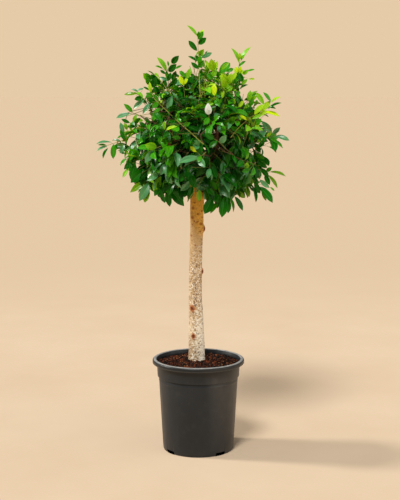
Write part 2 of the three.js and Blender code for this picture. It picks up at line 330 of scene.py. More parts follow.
def sun(name, azimuth, elevation, energy, color, angle):
    """A soft light from a direction: azimuth 0 is from +X, 270 from the front."""
    d = bpy.data.lights.new(name, "SUN")
    d.energy, d.color, d.angle = energy, color, math.radians(angle)
    o = bpy.data.objects.new(name, d)
    a, e = math.radians(azimuth), math.radians(elevation)
    toward = np.array([math.cos(a) * math.cos(e), math.sin(a) * math.cos(e), math.sin(e)])
    from mathutils import Vector
    o.rotation_mode = "QUATERNION"
    o.rotation_quaternion = Vector(toward).to_track_quat("Z", "Y")
    SCENE.collection.objects.link(o)
    return o


sun("key", 172, 28, 2.36, (1.0, 0.95, 0.86), 9)
sun("top", 252, 50, 2.38, (1.0, 0.98, 0.94), 16)
sun("bounce", 328, 17, 0.70, (1.0, 0.94, 0.84), 50)


def make_floor():
    n = Nodes("floor_plaster")
    v = n.coords()
    patches = n.noise(v, 1.6, 4.0, 0.6)
    grain = n.noise(v, 90.0, 4.0, 0.6)
    near = n.ramp(patches, [(0.3, srgb(211, 188, 161)), (0.7, srgb(218, 196, 170))])
    dist = n.add("ShaderNodeVectorMath", operation="LENGTH")
    n.link(v, dist.inputs[0])
    away = n.ramp(n.maths("MULTIPLY", dist.outputs["Value"], 0.1), [(0.12, 0.0), (0.45, 1.0)], "EASE")
    n.link(n.mix(away, near, srgb(208, 185.5, 158)), n.b.inputs["Base Color"])
    n.b.inputs["Roughness"].default_value = 0.9
    n.b.inputs["Specular IOR Level"].default_value = 0.0
    n.bump(grain, 0.10, 0.0006)
    s = 180.0
    ob = mesh_object("floor", [[-s, -s, 0], [s, -s, 0], [s, s, 0], [-s, s, 0]], [[0, 1, 2, 3]], materials=[n.m])


make_floor()


# ------------------------------------------------------------------ pot
POT = dict(rim=0.155, crest=0.3125, under=0.2970, collar=0.1403, collar_foot=0.1384, collar_z=0.2550,
           body=0.1339, base=0.1194, wall=0.0024, floor=0.010, floor_top=0.013, skirt=0.0118,
           foot=0.042, notch_at=-51.6, notch_width=0.035, notch_height=0.0112)


def arc(cx, cz, r, a0, a1, n):
    """Points on an arc of a profile, angles in degrees."""
    return [(cx + r * math.cos(math.radians(a)), cz + r * math.sin(math.radians(a))) for a in np.linspace(a0, a1, n)]


def pot_profile():
    P = POT
    under, crest = P["under"], P["crest"]

    def wall_r(z):
        return P["base"] + (P["body"] - P["base"]) * z / P["collar_z"]

    out = [(0.0001, 0.0), (0.02, 0.0), (P["foot"] - 0.001, 0.0), (P["foot"], 0.0008), (P["foot"] + 0.002, P["floor"] - 0.0008),
           (P["foot"] + 0.003, P["floor"])]
    out += [(0.075, P["floor"]), (P["base"] - P["skirt"] - 0.0015, P["floor"])]
    r_in = P["base"] - P["skirt"]
    out += [(r_in - 0.0004, P["floor"] - 0.0006), (r_in, 0.0016), (r_in + 0.0012, 0.0)]
    out += [(P["base"] - 0.0094, 0.0), (P["base"] - 0.0090, 0.0), (P["base"] - 0.0052, 0.0)]
    out += arc(P["base"] - 0.0048, 0.0050, 0.0050, -78, -6, 7)
    for z in np.linspace(0.0085, 0.232, 16):
        out.append((wall_r(z) + 0.0003, z))
    # a fine bead under the collar, then the collar's step
    out += [(wall_r(0.2385) + 0.0003, 0.2385), (wall_r(0.2400) + 0.0009, 0.2402), (wall_r(0.2415) + 0.0009, 0.2416),
            (wall_r(0.243) + 0.0003, 0.2432), (P["body"] - 0.0006, 0.2490), (P["body"] - 0.0012, 0.2524)]
    out += arc(P["collar_foot"] - 0.0012, 0.2542, 0.0012, -80, 0, 5)
    for z in np.linspace(0.258, under - 0.004, 8):
        t = (z - 0.25) / (under - 0.25)
        out.append((P["collar_foot"] + (P["collar"] - P["collar_foot"]) * t, z))
    out += [(P["collar"] + 0.0004, under - 0.0016), (P["collar"] + 0.0022, under - 0.0002)]
    out += [(P["rim"] - 0.0050, under - 0.0006)]
    out += arc(P["rim"] - 0.0026, under + 0.0022, 0.0026, -85, -5, 6)
    out += [(P["rim"] + 0.0001, under + 0.0060)]
    out += arc(P["rim"] - 0.0050, crest - 0.0064, 0.0051, 0, 62, 7)
    out += arc(P["rim"] - 0.0084, crest - 0.0043, 0.0043, 66, 100, 5)
    out += arc(P["collar"] + 0.0045, crest - 0.0036, 0.0030, 100, 178, 6)
    inner = P["wall"]
    for z in np.linspace(crest - 0.008, 0.2595, 8):
        t = (z - 0.25) / (under - 0.25)
        out.append((P["collar_foot"] + (P["collar"] - P["collar_foot"]) * min(t, 1.0) - inner + 0.0025 * smooth01(t, 0.9, 1.3), z))
    out += [(0.1345, 0.2568), (0.1308, 0.2528), (0.1309, 0.2490), (0.1312, 0.2450)]
    for z in np.linspace(0.22, 0.02, 7):
        out.append((wall_r(z) - inner, z))
    out += [(P["base"] - inner - 0.003, P["floor_top"]), (0.06, P["floor_top"]), (0.0001, P["floor_top"])]
    return np.array(out, float)


def make_pot():
    P = POT
    prof = pot_profile()
    # columns round the pot, with close pairs at the sides of each drainage notch
    half = 0.5 * P["notch_width"] / (P["base"] - 0.006)
    centres = [math.radians(P["notch_at"] + 90 * k) for k in range(4)]
    cols = [(a, False) for a in np.linspace(0, TAU, 176, endpoint=False)]

    def in_notch(a):
        return any(abs((a - c + math.pi) % TAU - math.pi) < half for c in centres)

    cols = [(a, in_notch(a)) for a, _ in cols if not any(
        abs(abs((a - c + math.pi) % TAU - math.pi) - half) < 0.006 for c in centres)]
    for c in centres:
        for side in (-1, 1):
            cols.append(((c + side * (half + 0.0022)) % TAU, False))
            cols.append(((c + side * half) % TAU, True))
    cols.sort()
    ang = np.array([a for a, _ in cols])
    notch = np.array([n for _, n in cols])
    n, k = len(ang), len(prof)
    r = np.repeat(prof[None, :, 0], n, 0)
    z = np.repeat(prof[None, :, 1], n, 0)
    # a notch is a deep recess in the foot of the skirt, with a thin sill under it: painted shadow, a black sheet where
    # the floor under the pot would lie in shade
    b, h = P["base"], P["notch_height"]
    shape = [(b - 0.0052, 0.0), (b - 0.0014, 0.0), (b - 0.0008, 0.0004), (b - 0.0014, 0.0008), (b - 0.0088, 0.0009),
             (b - 0.0092, 0.0014), (b - 0.0092, 0.0050), (b - 0.0092, h - 0.0004), (b - 0.0086, h), (b - 0.0004, h), (b + 0.0008, h)]
    first = int(np.nonzero((np.abs(prof[:, 0] - (b - 0.0090)) < 1e-7) & (prof[:, 1] == 0.0))[0][0])
    for step, (nr_, nz_) in enumerate(shape):
        r[notch, first + step] = nr_
        z[notch, first + step] = nz_
    # a moulded pot is never quite round
    wobble = 1 + 0.0016 * np.sin(2 * ang + 0.6) + 0.0007 * np.sin(3 * ang + 2.0)
    r = r * (1 + (wobble[:, None] - 1) * smooth01(z, 0.05, 0.31))
    x, y = r * np.sin(ang)[:, None], -r * np.cos(ang)[:, None]
    verts = np.stack([x, y, z], -1).reshape(-1, 3)
    i = np.arange(n)[:, None] * k + np.arange(k - 1)[None, :]
    j = (np.arange(n)[:, None] + 1) % n * k + np.arange(k - 1)[None, :]
    quads = np.stack([i, j, j + 1, i + 1], -1).reshape(-1, 4)
    # the recess and sill take a black finish: painted shadow
    recess = np.zeros((n, k - 1), int)
    recess[notch | np.roll(notch, -1), first + 1:first + 10] = 1
    shade = mottled("notch_shade", (0.0010, 0.0010, 0.0011, 1), 0.7, 1.3, 90.0, 0.95, 0.0)
    ob = mesh_object("nursery_pot", verts, quads, materials=[pot_material(), shade], quad_mat=recess.ravel())
    me = ob.data
    # the ends on the axis are tiny rings: close them
    import bmesh
    bm = bmesh.new()
    bm.from_mesh(me)
    bmesh.ops.remove_doubles(bm, verts=bm.verts, dist=0.00016)
    bmesh.ops.recalc_face_normals(bm, faces=bm.faces)
    for f in bm.faces:
        f.smooth = True
    for e in bm.edges:
        if len(e.link_faces) == 2 and e.calc_face_angle(0) > math.radians(48):
            e.smooth = False
    bm.to_mesh(me)
    bm.free()
    piece(ob, "pot", "pot")
    return ob


def pot_material():
    n = Nodes("black_moulded_plastic")
    v = n.coords()
    long = n.coords((1, 1, 0.12))
    base = n.noise(v, 9.0, 5.0, 0.6)
    streak = n.noise(long, 60.0, 4.0, 0.6)
    dust_and_highlight = n.noise(v, 34.0, 6.0, 0.7)
    sep = n.add("ShaderNodeSeparateXYZ")
    c = n.add("ShaderNodeTexCoord")
    n.link(c.outputs["Object"], sep.inputs["Vector"])
    low = n.ramp(sep.outputs["Z"], [(0.0, 1.0), (0.03, 0.25), (0.06, 0.0)])
    colour = n.ramp(base, [(0.30, (0.0068, 0.0106, 0.0148, 1)), (0.72, (0.0102, 0.0148, 0.0196, 1))])
    colour = n.mix(n.maths("MULTIPLY", n.ramp(dust_and_highlight, [(0.52, 0.0), (0.78, 1.0)]), 0.22), colour, (0.060, 0.056, 0.050, 1))
    colour = n.mix(n.maths("MULTIPLY", low, 0.07), colour, (0.11, 0.092, 0.072, 1))
    # a painted highlight: a paler patch on the front-right side, where light from the right falls, broken up by the
    # dust noise
    painted_side_highlight = n.maths("ADD", n.maths("MULTIPLY", sep.outputs["X"], 0.72), n.maths("MULTIPLY", sep.outputs["Y"], -0.69))
    painted_side_highlight = n.maths("MULTIPLY", n.ramp(painted_side_highlight, [(0.108, 0.0), (0.128, 1.0)]), n.ramp(dust_and_highlight, [(0.25, 0.55), (0.75, 1.0)]))
    colour = n.mix(n.maths("MULTIPLY", painted_side_highlight, 0.50), colour, (0.078, 0.072, 0.065, 1))
    # painted shade under the rim and down the collar; also darker on the lip's face and towards the foot
    depth = n.ramp(sep.outputs["Z"], [(0.0, 0.45), (0.14, 0.12), (0.248, 0.0), (0.262, 0.10), (0.285, 0.50), (0.297, 0.80), (0.3005, 0.66), (0.3085, 0.66), (0.3105, 0.0)])
    colour = n.mix(depth, colour, (0.0030, 0.0042, 0.0058, 1))
    flat = n.add("ShaderNodeVectorMath", operation="MULTIPLY")
    n.link(c.outputs["Object"], flat.inputs[0])
    flat.inputs[1].default_value = (1, 1, 0)
    out = n.add("ShaderNodeVectorMath", operation="LENGTH")
    n.link(flat.outputs["Vector"], out.inputs[0])
    # the crest of the rim is painted pale: partly scuffs, partly a painted highlight where its flat top catches the
    # light
    top = n.ramp(n.maths("MULTIPLY", n.maths("SUBTRACT", sep.outputs["Z"], POT["crest"] - 0.0060), 100.0), [(0.34, 0.0), (0.50, 1.0)])
    scuff_and_highlight = n.ramp(n.noise(n.coords((1, 1, 1)), 42.0, 4.0, 0.65), [(0.28, 0.45), (0.62, 1.0)])
    colour = n.mix(n.maths("MULTIPLY", n.maths("MULTIPLY", top, scuff_and_highlight), 0.86), colour, (0.42, 0.42, 0.41, 1))
    # painted highlight: a paler band along the outer lower edge of the lip
    painted_lip_highlight = n.ramp(n.maths("MULTIPLY", n.maths("SUBTRACT", sep.outputs["Z"], POT["under"]), 100.0), [(0.0, 0.0), (0.08, 1.0), (0.30, 1.0), (0.42, 0.0)])
    edge = n.ramp(n.maths("MULTIPLY", out.outputs["Value"], 1.0), [(0.1515, 0.0), (0.1535, 1.0)])
    colour = n.mix(n.maths("MULTIPLY", n.maths("MULTIPLY", painted_lip_highlight, edge), 0.55), colour, (0.060, 0.060, 0.058, 1))
    n.link(colour, n.b.inputs["Base Color"])
    rough = n.ramp(streak, [(0.25, 0.34), (0.75, 0.50)])
    n.link(rough, n.b.inputs["Roughness"])
    n.b.inputs["Specular IOR Level"].default_value = 0.42
    grain = n.noise(v, 900.0, 2.0, 0.5)
    n.bump(n.maths("ADD", n.maths("MULTIPLY", grain, 0.35), n.maths("MULTIPLY", streak, 0.65)), 0.16, 0.0004)
    return n.m


make_pot()


# ------------------------------------------------------------------ compost
def compost_height(x, y):
    r = np.hypot(x, y)
    top = np.interp(r, [0, 0.036, 0.060, 0.104, 0.141], [0.3072, 0.3068, 0.3042, 0.2990, 0.2930])
    p = np.stack([x, y, np.zeros_like(x)], -1)
    return top + 0.0030 * fbm(p * 38, 3, 5) + 0.0016 * noise3(p * 140, 9)


def make_compost():
    rings, seg = 46, 132
    rr = np.concatenate([[0.0005], np.linspace(0.006, 0.1392, rings)])
    a = np.linspace(0, TAU, seg, endpoint=False)
    # keep just inside the pot's inner wall at this height
    R, A = np.meshgrid(rr, a, indexing="ij")
    x, y = R * np.cos(A), R * np.sin(A)
    z = compost_height(x.ravel(), y.ravel()).reshape(x.shape)
    verts = [np.stack([x, y, z], -1).reshape(-1, 3)]
    # the sides go down inside the pot and close on its floor
    for r, zz in ((0.1342, 0.2620), (0.1290, 0.2540), (0.1280, 0.2380), (0.1150, 0.0145), (0.0005, 0.0140)):
        verts.append(np.stack([r * np.cos(a), r * np.sin(a), np.full(seg, zz)], -1))
    verts = np.concatenate(verts)
    rows = len(rr) + 5
    i = np.arange(rows - 1)[:, None] * seg + np.arange(seg)[None, :]
    j = np.arange(rows - 1)[:, None] * seg + (np.arange(seg)[None, :] + 1) % seg
    quads = np.stack([i, i + seg, j + seg, j], -1).reshape(-1, 4)
    quads = np.concatenate([quads, np.zeros((0, 4), int)])
    n = Nodes("moist_bark_compost")
    v = n.coords()
    a1 = n.noise(v, 160.0, 6.0, 0.7)
    a2 = n.noise(v, 420.0, 3.0, 0.6)
    col = n.ramp(a1, [(0.30, srgb(20, 12, 8)), (0.48, srgb(48, 27, 17)), (0.60, srgb(86, 48, 29)), (0.75, srgb(120, 72, 44))])
    n.link(col, n.b.inputs["Base Color"])
    n.b.inputs["Roughness"].default_value = 0.85
    n.bump(n.maths("ADD", a1, a2), 0.9, 0.003)
    ob = mesh_object("compost_bed", verts, quads, materials=[n.m])
    import bmesh
    bm = bmesh.new()
    bm.from_mesh(ob.data)
    bmesh.ops.remove_doubles(bm, verts=bm.verts, dist=0.0006)
    bmesh.ops.recalc_face_normals(bm, faces=bm.faces)
    bm.to_mesh(ob.data)
    bm.free()
    piece(ob, "compost", "compost")

    # chips of bark: little bent slabs with broken edges, dealt out in four colours
    kinds = [
        ("chips_dark", srgb(16, 8, 5), 2300),
        ("chips_brown", srgb(52, 25, 13), 2000),
        ("chips_red", srgb(104, 50, 26), 1200),
        ("chips_tan", srgb(150, 98, 62), 210),
    ]
    lat = np.array([[-1, -1], [0, -1.15], [1, -1], [1.1, 0], [1, 1], [0, 1.1], [-1, 1], [-1.1, 0]], float)
    for name, colour, count in kinds:
        g = np.random.default_rng(900 + count)
        rad_ = 0.139 * np.sqrt(g.random(count))
        th = g.random(count) * TAU
        x, y = rad_ * np.cos(th), rad_ * np.sin(th)
        stem = np.hypot(x + 0.005, y) < 0.0295
        x, y, rad_, th = x[~stem], y[~stem], rad_[~stem], th[~stem]
        m = len(x)
        z = compost_height(x, y)
        length = g.uniform(0.0028, 0.0082, m) * (1 + 0.6 * (g.random(m) < 0.12))
        width = length * g.uniform(0.26, 0.62, m)
        thick = length * g.uniform(0.14, 0.32, m)
        # stay inside the pot
        keep = rad_ + length * 0.5 < 0.1400
        x, y, z, length, width, thick = (q[keep] for q in (x, y, z, length, width, thick))
        m = len(x)
        jit = lat[None] * (1 + g.uniform(-0.28, 0.22, (m, 8, 2)))
        topv = np.concatenate([jit * 0.86, (1 + g.uniform(-0.5, 0.4, (m, 8, 1)))], -1)
        botv = np.concatenate([jit, -(1 + g.uniform(-0.5, 0.4, (m, 8, 1)))], -1)
        ct = np.concatenate([g.uniform(-.2, .2, (m, 1, 2)), 1.2 * np.ones((m, 1, 1))], -1)
        cb = np.concatenate([g.uniform(-.2, .2, (m, 1, 2)), -1.2 * np.ones((m, 1, 1))], -1)
        local = np.concatenate([topv, botv, ct, cb], 1) * np.stack([length / 2, width / 2, thick / 2], -1)[:, None, :]
        # turn each chip about all three axes, mostly lying down
        yaw, pitch, roll = g.random(m) * TAU, g.normal(0, 0.42, m), g.normal(0, 0.5, m)
        cy, sy, cp, sp, cr, sr = np.cos(yaw), np.sin(yaw), np.cos(pitch), np.sin(pitch), np.cos(roll), np.sin(roll)
        R3 = np.stack([
            np.stack([cy * cp, cy * sp * sr - sy * cr, cy * sp * cr + sy * sr], -1),
            np.stack([sy * cp, sy * sp * sr + cy * cr, sy * sp * cr - cy * sr], -1),
            np.stack([-sp, cp * sr, cp * cr], -1)], 1)
        world_v = np.einsum("mij,mkj->mki", R3, local)
        world_v += np.stack([x, y, z + 0.0006 + 0.25 * thick], -1)[:, None, :]
        t = []
        for q in range(8):
            w = (q + 1) % 8
            t += [[q, w, 16][::-1], [8 + q, 8 + w, 17], [q, w, 8 + w], [q, 8 + w, 8 + q]]
        t = np.array(t)
        # outward winding
        t = np.array([[a_, b_, c_] for a_, b_, c_ in t])
        tris = (t[None] + 18 * np.arange(m)[:, None, None]).reshape(-1, 3)
        ob = mesh_object(name, world_v.reshape(-1, 3), tris=tris, smooth=False, materials=[
            mottled(name + "_bark", colour, 0.62, 1.30, 240.0, 0.85, 0.15)])
        fix_normals(ob)
        piece(ob, "compost")


def fix_normals(ob):
    import bmesh
    bm = bmesh.new()
    bm.from_mesh(ob.data)
    bmesh.ops.recalc_face_normals(bm, faces=bm.faces)
    bm.to_mesh(ob.data)
    bm.free()


make_compost()


# ------------------------------------------------------------------ stem and boughs
STEM = np.array([  # height, x, y, radius
    [0.296, -0.0060, 0.0000, 0.0284], [0.304, -0.0060, 0.0000, 0.0280], [0.339, -0.0058, 0.0003, 0.0271],
    [0.389, -0.0066, 0.0008, 0.0257], [0.443, -0.0074, 0.0015, 0.0244], [0.511, -0.0100, 0.0022, 0.0220],
    [0.613, -0.0098, 0.0024, 0.0215], [0.681, -0.0076, 0.0020, 0.0212], [0.755, -0.0050, 0.0012, 0.0217],
    [0.822, -0.0048, 0.0004, 0.0225], [0.848, -0.0036, 0.0000, 0.0228], [0.872, -0.0010, 0.0000, 0.0242]])
KNOTS = [  # height, direction (0 = +X, 270 = front), proud, size
    (0.754, -20, 0.0112, 0.0092), (0.611, -26, 0.0098, 0.0092), (0.486, 242, 0.0036, 0.0125),
    (0.392, 247, 0.0032, 0.0105), (0.650, 110, 0.0030, 0.0090), (0.540, 40, 0.0022, 0.0075), (0.700, 160, 0.0020, 0.007)]
PITS = [  # height, direction, half-width of the larger dark lenticels
    (0.824, 236, 0.0048), (0.792, 228, 0.0056), (0.804, 282, 0.0040), (0.771, 309, 0.0056), (0.731, 215, 0.0044),
    (0.745, 300, 0.0030), (0.842, 248, 0.0032), (0.814, 316, 0.0036), (0.700, 262, 0.0030), (0.850, 290, 0.0040),
    (0.792, 322, 0.0038), (0.780, 246, 0.0026), (0.780, 20, 0.0050), (0.830, 60, 0.0044), (0.760, 100, 0.0050),
    (0.810, 140, 0.0044), (0.735, 170, 0.0040)]
BOUGHS = {  # direction, lean, run, radius at the fork and tip, how far from the middle, how far below the top
    "bough_centre": (60, 4, 0.330, 0.0110, 0.0055, 0.003, 0),
    "bough_left": (176, 26, 0.300, 0.0100, 0.0050, 0.009, 0),
    "bough_right": (352, 38, 0.280, 0.0115, 0.0050, 0.010, 0),
    "bough_front_left": (232, 42, 0.250, 0.0085, 0.0045, 0.011, 0),
    "bough_front_right": (300, 34, 0.270, 0.0085, 0.0045, 0.010, 0),
    "bough_back_left": (124, 44, 0.250, 0.0085, 0.0045, 0.011, 0),
    "bough_back_right": (40, 40, 0.260, 0.0085, 0.0045, 0.011, 0),
    "bough_low_left": (200, 62, 0.130, 0.0060, 0.0040, 0.015, 0.010),
    "bough_low_right": (330, 62, 0.130, 0.0065, 0.0040, 0.017, 0.022),
    "bough_low_back": (84, 64, 0.130, 0.0060, 0.0040, 0.017, 0.018),
}
FORK = np.array([-0.005, 0.0, 0.872])


def heading(azimuth, elevation=0.0):
    a, e = math.radians(azimuth), math.radians(elevation)
    return np.array([math.cos(a) * math.cos(e), math.sin(a) * math.cos(e), math.sin(e)])


def catmull(points, n):
    """n points evenly spaced along a smooth curve through the given ones."""
    p = np.asarray(points, float)
    ext = np.concatenate([[2 * p[0] - p[1]], p, [2 * p[-1] - p[-2]]])
    out = []
    for i in range(1, len(ext) - 2):
        p0, p1, p2, p3 = ext[i - 1:i + 3]
        for t in np.linspace(0, 1, 24, endpoint=False):
            out.append(0.5 * ((2 * p1) + (-p0 + p2) * t + (2 * p0 - 5 * p1 + 4 * p2 - p3) * t * t
                              + (-p0 + 3 * p1 - 3 * p2 + p3) * t ** 3))
    out.append(p[-1])
    out = np.array(out)
    s = np.concatenate([[0], np.cumsum(np.linalg.norm(np.diff(out, axis=0), axis=1))])
    q = np.linspace(0, s[-1], n)
    return np.stack([np.interp(q, s, out[:, k]) for k in range(3)], -1)


def bough_path(name):
    at, lean, run, r0, r1, off, drop = BOUGHS[name]
    out, side = heading(at), heading(at + 90)
    foot = FORK + np.array([0, 0, 0.004 - drop]) + out * off
    pts = [foot - out * off * 0.35 + np.array([0, 0, -0.016]), foot]
    for k in range(1, 5):
        t = k / 4
        a = math.radians(lean) * (1.15 - 0.3 * t)
        pts.append(foot + out * run * t * math.sin(a) + np.array([0, 0, run * t * math.cos(a)])
                   + side * 0.009 * math.sin(t * 5 + at))
    return np.array(pts)


def frames_along(path):
    """Tangent and two side directions at each point, without sudden turns."""
    t = unit(np.gradient(path, axis=0))
    n = np.zeros_like(path)
    start = np.array([0.0, 0.0, 1.0]) if abs(t[0][2]) < 0.9 else np.array([1.0, 0.0, 0.0])
    n[0] = unit(start - t[0] * start.dot(t[0]))
    for i in range(1, len(path)):
        v = n[i - 1] - t[i] * n[i - 1].dot(t[i])
        n[i] = v / max(np.linalg.norm(v), 1e-9)
    return t, n, np.cross(t, n)


def tube(path, radii, sides, cap=True):
    """Vertices and faces of a closed tapering tube."""
    path, radii = np.asarray(path, float), np.asarray(radii, float)
    _, n, b = frames_along(path)
    a = np.arange(sides) * TAU / sides
    ring = (np.cos(a)[None, :, None] * n[:, None, :] + np.sin(a)[None, :, None] * b[:, None, :])
    v = (path[:, None, :] + ring * radii[:, None, None]).reshape(-1, 3)
    k = len(path)
    i = np.arange(k - 1)[:, None] * sides + np.arange(sides)[None, :]
    j = np.arange(k - 1)[:, None] * sides + (np.arange(sides)[None, :] + 1) % sides
    quads = np.stack([i, j, j + sides, i + sides], -1).reshape(-1, 4)
    tris = np.zeros((0, 3), int)
    if cap:
        v = np.concatenate([v, path[:1], path[-1:] + (path[-1:] - path[-2:-1]) * 0.2])
        c0, c1 = k * sides, k * sides + 1
        s = np.arange(sides)
        e = (s + 1) % sides
        tris = np.concatenate([np.stack([np.full(sides, c0), e, s], -1),
                               np.stack([np.full(sides, c1), (k - 1) * sides + s, (k - 1) * sides + e], -1)])
    return v, quads, tris


def make_wood():
    """Stem and boughs grown together at the fork, with the bark's relief and its colour zones."""
    V, Q, T, base = [], [], [], 0
    z = np.linspace(STEM[0, 0], STEM[-1, 0] + 0.006, 120)
    path = np.stack([np.interp(z, STEM[:, 0], STEM[:, 1]), np.interp(z, STEM[:, 0], STEM[:, 2]), z], -1)
    rad_ = np.interp(z, STEM[:, 0], STEM[:, 3])
    kernel = np.ones(9) / 9
    sm = np.convolve(np.pad(rad_, 4, "edge"), kernel, "valid")
    v, q, t = tube(path, sm, 48)
    V.append(v); Q.append(q); T.append(t); base += len(v)
    for name in BOUGHS:
        at, lean, run, r0, r1, off, drop = BOUGHS[name]
        p = catmull(bough_path(name), 70)
        s = np.linspace(0, 1, 70)
        r = (r0 + (r1 - r0) * s) * (1 + 0.30 * np.clip(1 - s * 6, 0, 1)) * (1 + 0.05 * np.sin(s * 23 + at))
        v, q, t = tube(p, r, 14)
        V.append(v); Q.append(q + base); T.append(t + base); base += len(v)
    ob = mesh_object("stem_and_boughs", np.concatenate(V), np.concatenate(Q), np.concatenate(T))
    m = ob.modifiers.new("grow_together", "REMESH")
    m.mode = "VOXEL"
    m.voxel_size = 0.00132
    m.adaptivity = 0.0
    s = ob.modifiers.new("soften", "SMOOTH")
    s.factor, s.iterations = 0.5, 5
    dg = bpy.context.evaluated_depsgraph_get()
    fine_mesh = bpy.data.meshes.new_from_object(ob.evaluated_get(dg))
    ob.modifiers.clear()
    ob.data = fine_mesh
    heights = np.zeros(len(fine_mesh.vertices) * 3, np.float32)
    fine_mesh.vertices.foreach_get("co", heights)
    far = np.nonzero(heights.reshape(-1, 3)[:, 2] > 0.895)[0].tolist()
    ob.vertex_groups.new(name="boughs").add(far, 1.0, "REPLACE")
    d = ob.modifiers.new("thin_boughs", "DECIMATE")
    d.vertex_group, d.ratio, d.vertex_group_factor = "boughs", 0.58, 10.0
    dg = bpy.context.evaluated_depsgraph_get()
    new = bpy.data.meshes.new_from_object(ob.evaluated_get(dg))
    ob.modifiers.clear()
    old = ob.data
    ob.data = new
    bpy.data.meshes.remove(old)
    me = ob.data
    co = np.zeros(len(me.vertices) * 3, np.float32)
    me.vertices.foreach_get("co", co)
    co = co.reshape(-1, 3).astype(float)
    nr = np.zeros(len(me.vertices) * 3, np.float32)
    me.vertex_normals.foreach_get("vector", nr)
    nr = nr.reshape(-1, 3).astype(float)
    cx = np.interp(co[:, 2], STEM[:, 0], STEM[:, 1])
    cy = np.interp(co[:, 2], STEM[:, 0], STEM[:, 2])
    rr = np.interp(co[:, 2], STEM[:, 0], STEM[:, 3])
    on_stem = 1 - smooth01(co[:, 2], 0.862, 0.885)
    ang = np.arctan2(co[:, 1] - cy, co[:, 0] - cx)
    # flat bark coordinates: round the stem and along it
    wrap = np.stack([np.cos(ang) * rr, np.sin(ang) * rr, co[:, 2]], -1)
    wrap = np.where(on_stem[:, None] > 0.5, wrap, co)
    height = co[:, 2]
    right = 0.5 + 0.5 * np.cos(ang - math.radians(-22))          # 1 on the right side, painted whiter: partly weathered white, partly painted light
    broad = fbm(wrap * np.array([40, 40, 14]), 3, 3)
    plates = fbm(wrap * np.array([210, 210, 190]), 3, 21)
    fine = fbm(wrap * np.array([430, 430, 380]), 2, 44)
    flaky = 1 - smooth01(height + 0.05 * broad + 0.03 * (1 - right), 0.645, 0.765)
    # more white flakes on the right and fewer on the left: partly weathering, partly painted light on the right and
    # painted shade on the left
    want = 0.36 - 0.16 * flaky - 0.44 * smooth01(right, 0.50, 0.95) * (1 - smooth01(height, 0.40, 0.56)) + 0.30 * (1 - flaky) \
        + 0.34 * smooth01(1 - right, 0.50, 1.0)
    flakes = smooth01(plates + 0.75 * fine, want - 0.10, want + 0.10)
    rings = np.sin((height + 0.0035 * broad) * TAU / 0.0125 + 2.4 * fbm(wrap * 30, 2, 77))
    lent = smooth01(noise3(wrap * np.array([130, 130, 200]), 61), 0.68, 0.84) * smooth01(height, 0.60, 0.74) * on_stem
    specks = smooth01(noise3(wrap * np.array([230, 230, 300]), 91), 0.38, 0.54) * flaky
    knot, scar_at = np.zeros(len(co)), np.zeros(len(co))
    relief = 0.00045 * broad + on_stem * (0.00042 * flaky * flakes + 0.00016 * plates) + 0.00014 * fine
    relief += on_stem * (0.00010 + 0.00010 * (1 - flaky)) * np.clip(rings, 0, 1)
    relief -= 0.00040 * lent + 0.00022 * specks
    for kz, at, size in PITS:
        da = np.abs((np.degrees(ang) - at + 540) % 360 - 180)
        d = np.hypot(np.radians(da) * rr, (height - kz) * 1.25) / (1.35 * size)
        pit = (1 - smooth01(d + 0.5 * fine, 0.55, 1.15)) * on_stem
        lent = np.maximum(lent, pit)
        relief += 0.0007 * np.exp(-((d - 1.0) / 0.45) ** 2) * on_stem
    for kz, at, proud, size in KNOTS:
        da = np.abs((np.degrees(ang) - at + 540) % 360 - 180)
        d = np.hypot(np.radians(da) * rr, (height - kz) * 0.85)
        bumpy = np.exp(-(d / size) ** 2)
        relief += on_stem * proud * (bumpy - 0.6 * np.exp(-(d / (size * 0.45)) ** 2))
        knot = np.maximum(knot, smooth01(bumpy + 0.30 * fine, 0.40, 0.62) * on_stem)
        scar_at = np.maximum(scar_at, smooth01(bumpy + 0.25 * fine, 0.74, 0.92) * on_stem)
    # the foot is frayed where it meets the compost
    foot = 1 - smooth01(height, 0.306, 0.330)
    relief += foot * (0.0008 * noise3(np.stack([ang * 7, height * 40, 0 * ang], -1), 3) + 0.0006)
    co = co + nr * relief[:, None]
    me.vertices.foreach_set("co", co.astype(np.float32).ravel())
    me.polygons.foreach_set("use_smooth", np.ones(len(me.polygons), bool))
    me.update()
    for name, values in (("flake", flaky * flakes), ("lenticel", lent), ("knot", knot), ("scar", scar_at), ("speck", specks),
                         ("stem", on_stem), ("flaky", flaky)):
        a = me.attributes.new(name, "FLOAT", "POINT")
        a.data.foreach_set("value", np.clip(values, 0, 1).astype(np.float32))

    n = Nodes("fig_bark")
    v = n.coords()
    sep = n.add("ShaderNodeSeparateXYZ")
    c = n.add("ShaderNodeTexCoord")
    n.link(c.outputs["Object"], sep.inputs["Vector"])
    wavy = n.maths("ADD", sep.outputs["Z"], n.maths("MULTIPLY", n.maths("SUBTRACT", n.noise(v, 16.0, 3.0), 0.5), 0.10))
    wavy = n.maths("SUBTRACT", wavy, n.maths("MULTIPLY", sep.outputs["X"], -1.2))
    zone = n.ramp(wavy, [
        (0.30, srgb(166, 138, 102)), (0.335, srgb(176, 148, 110)), (0.375, srgb(218, 198, 164)), (0.43, srgb(192, 164, 126)), (0.58, srgb(186, 156, 116)),
        (0.67, srgb(200, 168, 122)), (0.725, srgb(202, 166, 112)), (0.785, srgb(238, 182, 78)),
        (0.875, srgb(232, 168, 46)), (0.915, srgb(150, 104, 52)), (0.97, srgb(88, 62, 42))])
    mott = n.noise(v, 210.0, 4.0, 0.65)
    zone = n.mix(n.ramp(mott, [(0.46, 0.0), (0.66, 0.50)]), zone, srgb(130, 88, 50))
    mott2 = n.noise(v, 360.0, 3.0, 0.6)
    zone = n.mix(n.maths("MULTIPLY", n.ramp(mott2, [(0.54, 0.0), (0.66, 1.0)]), 0.40), zone, srgb(222, 190, 138))
    white = n.mix(n.noise(v, 420.0, 2.0), srgb(250, 244, 230), srgb(230, 214, 186))
    col = n.mix(n.maths("MULTIPLY", n.attribute("flake"), 0.92), zone, white)
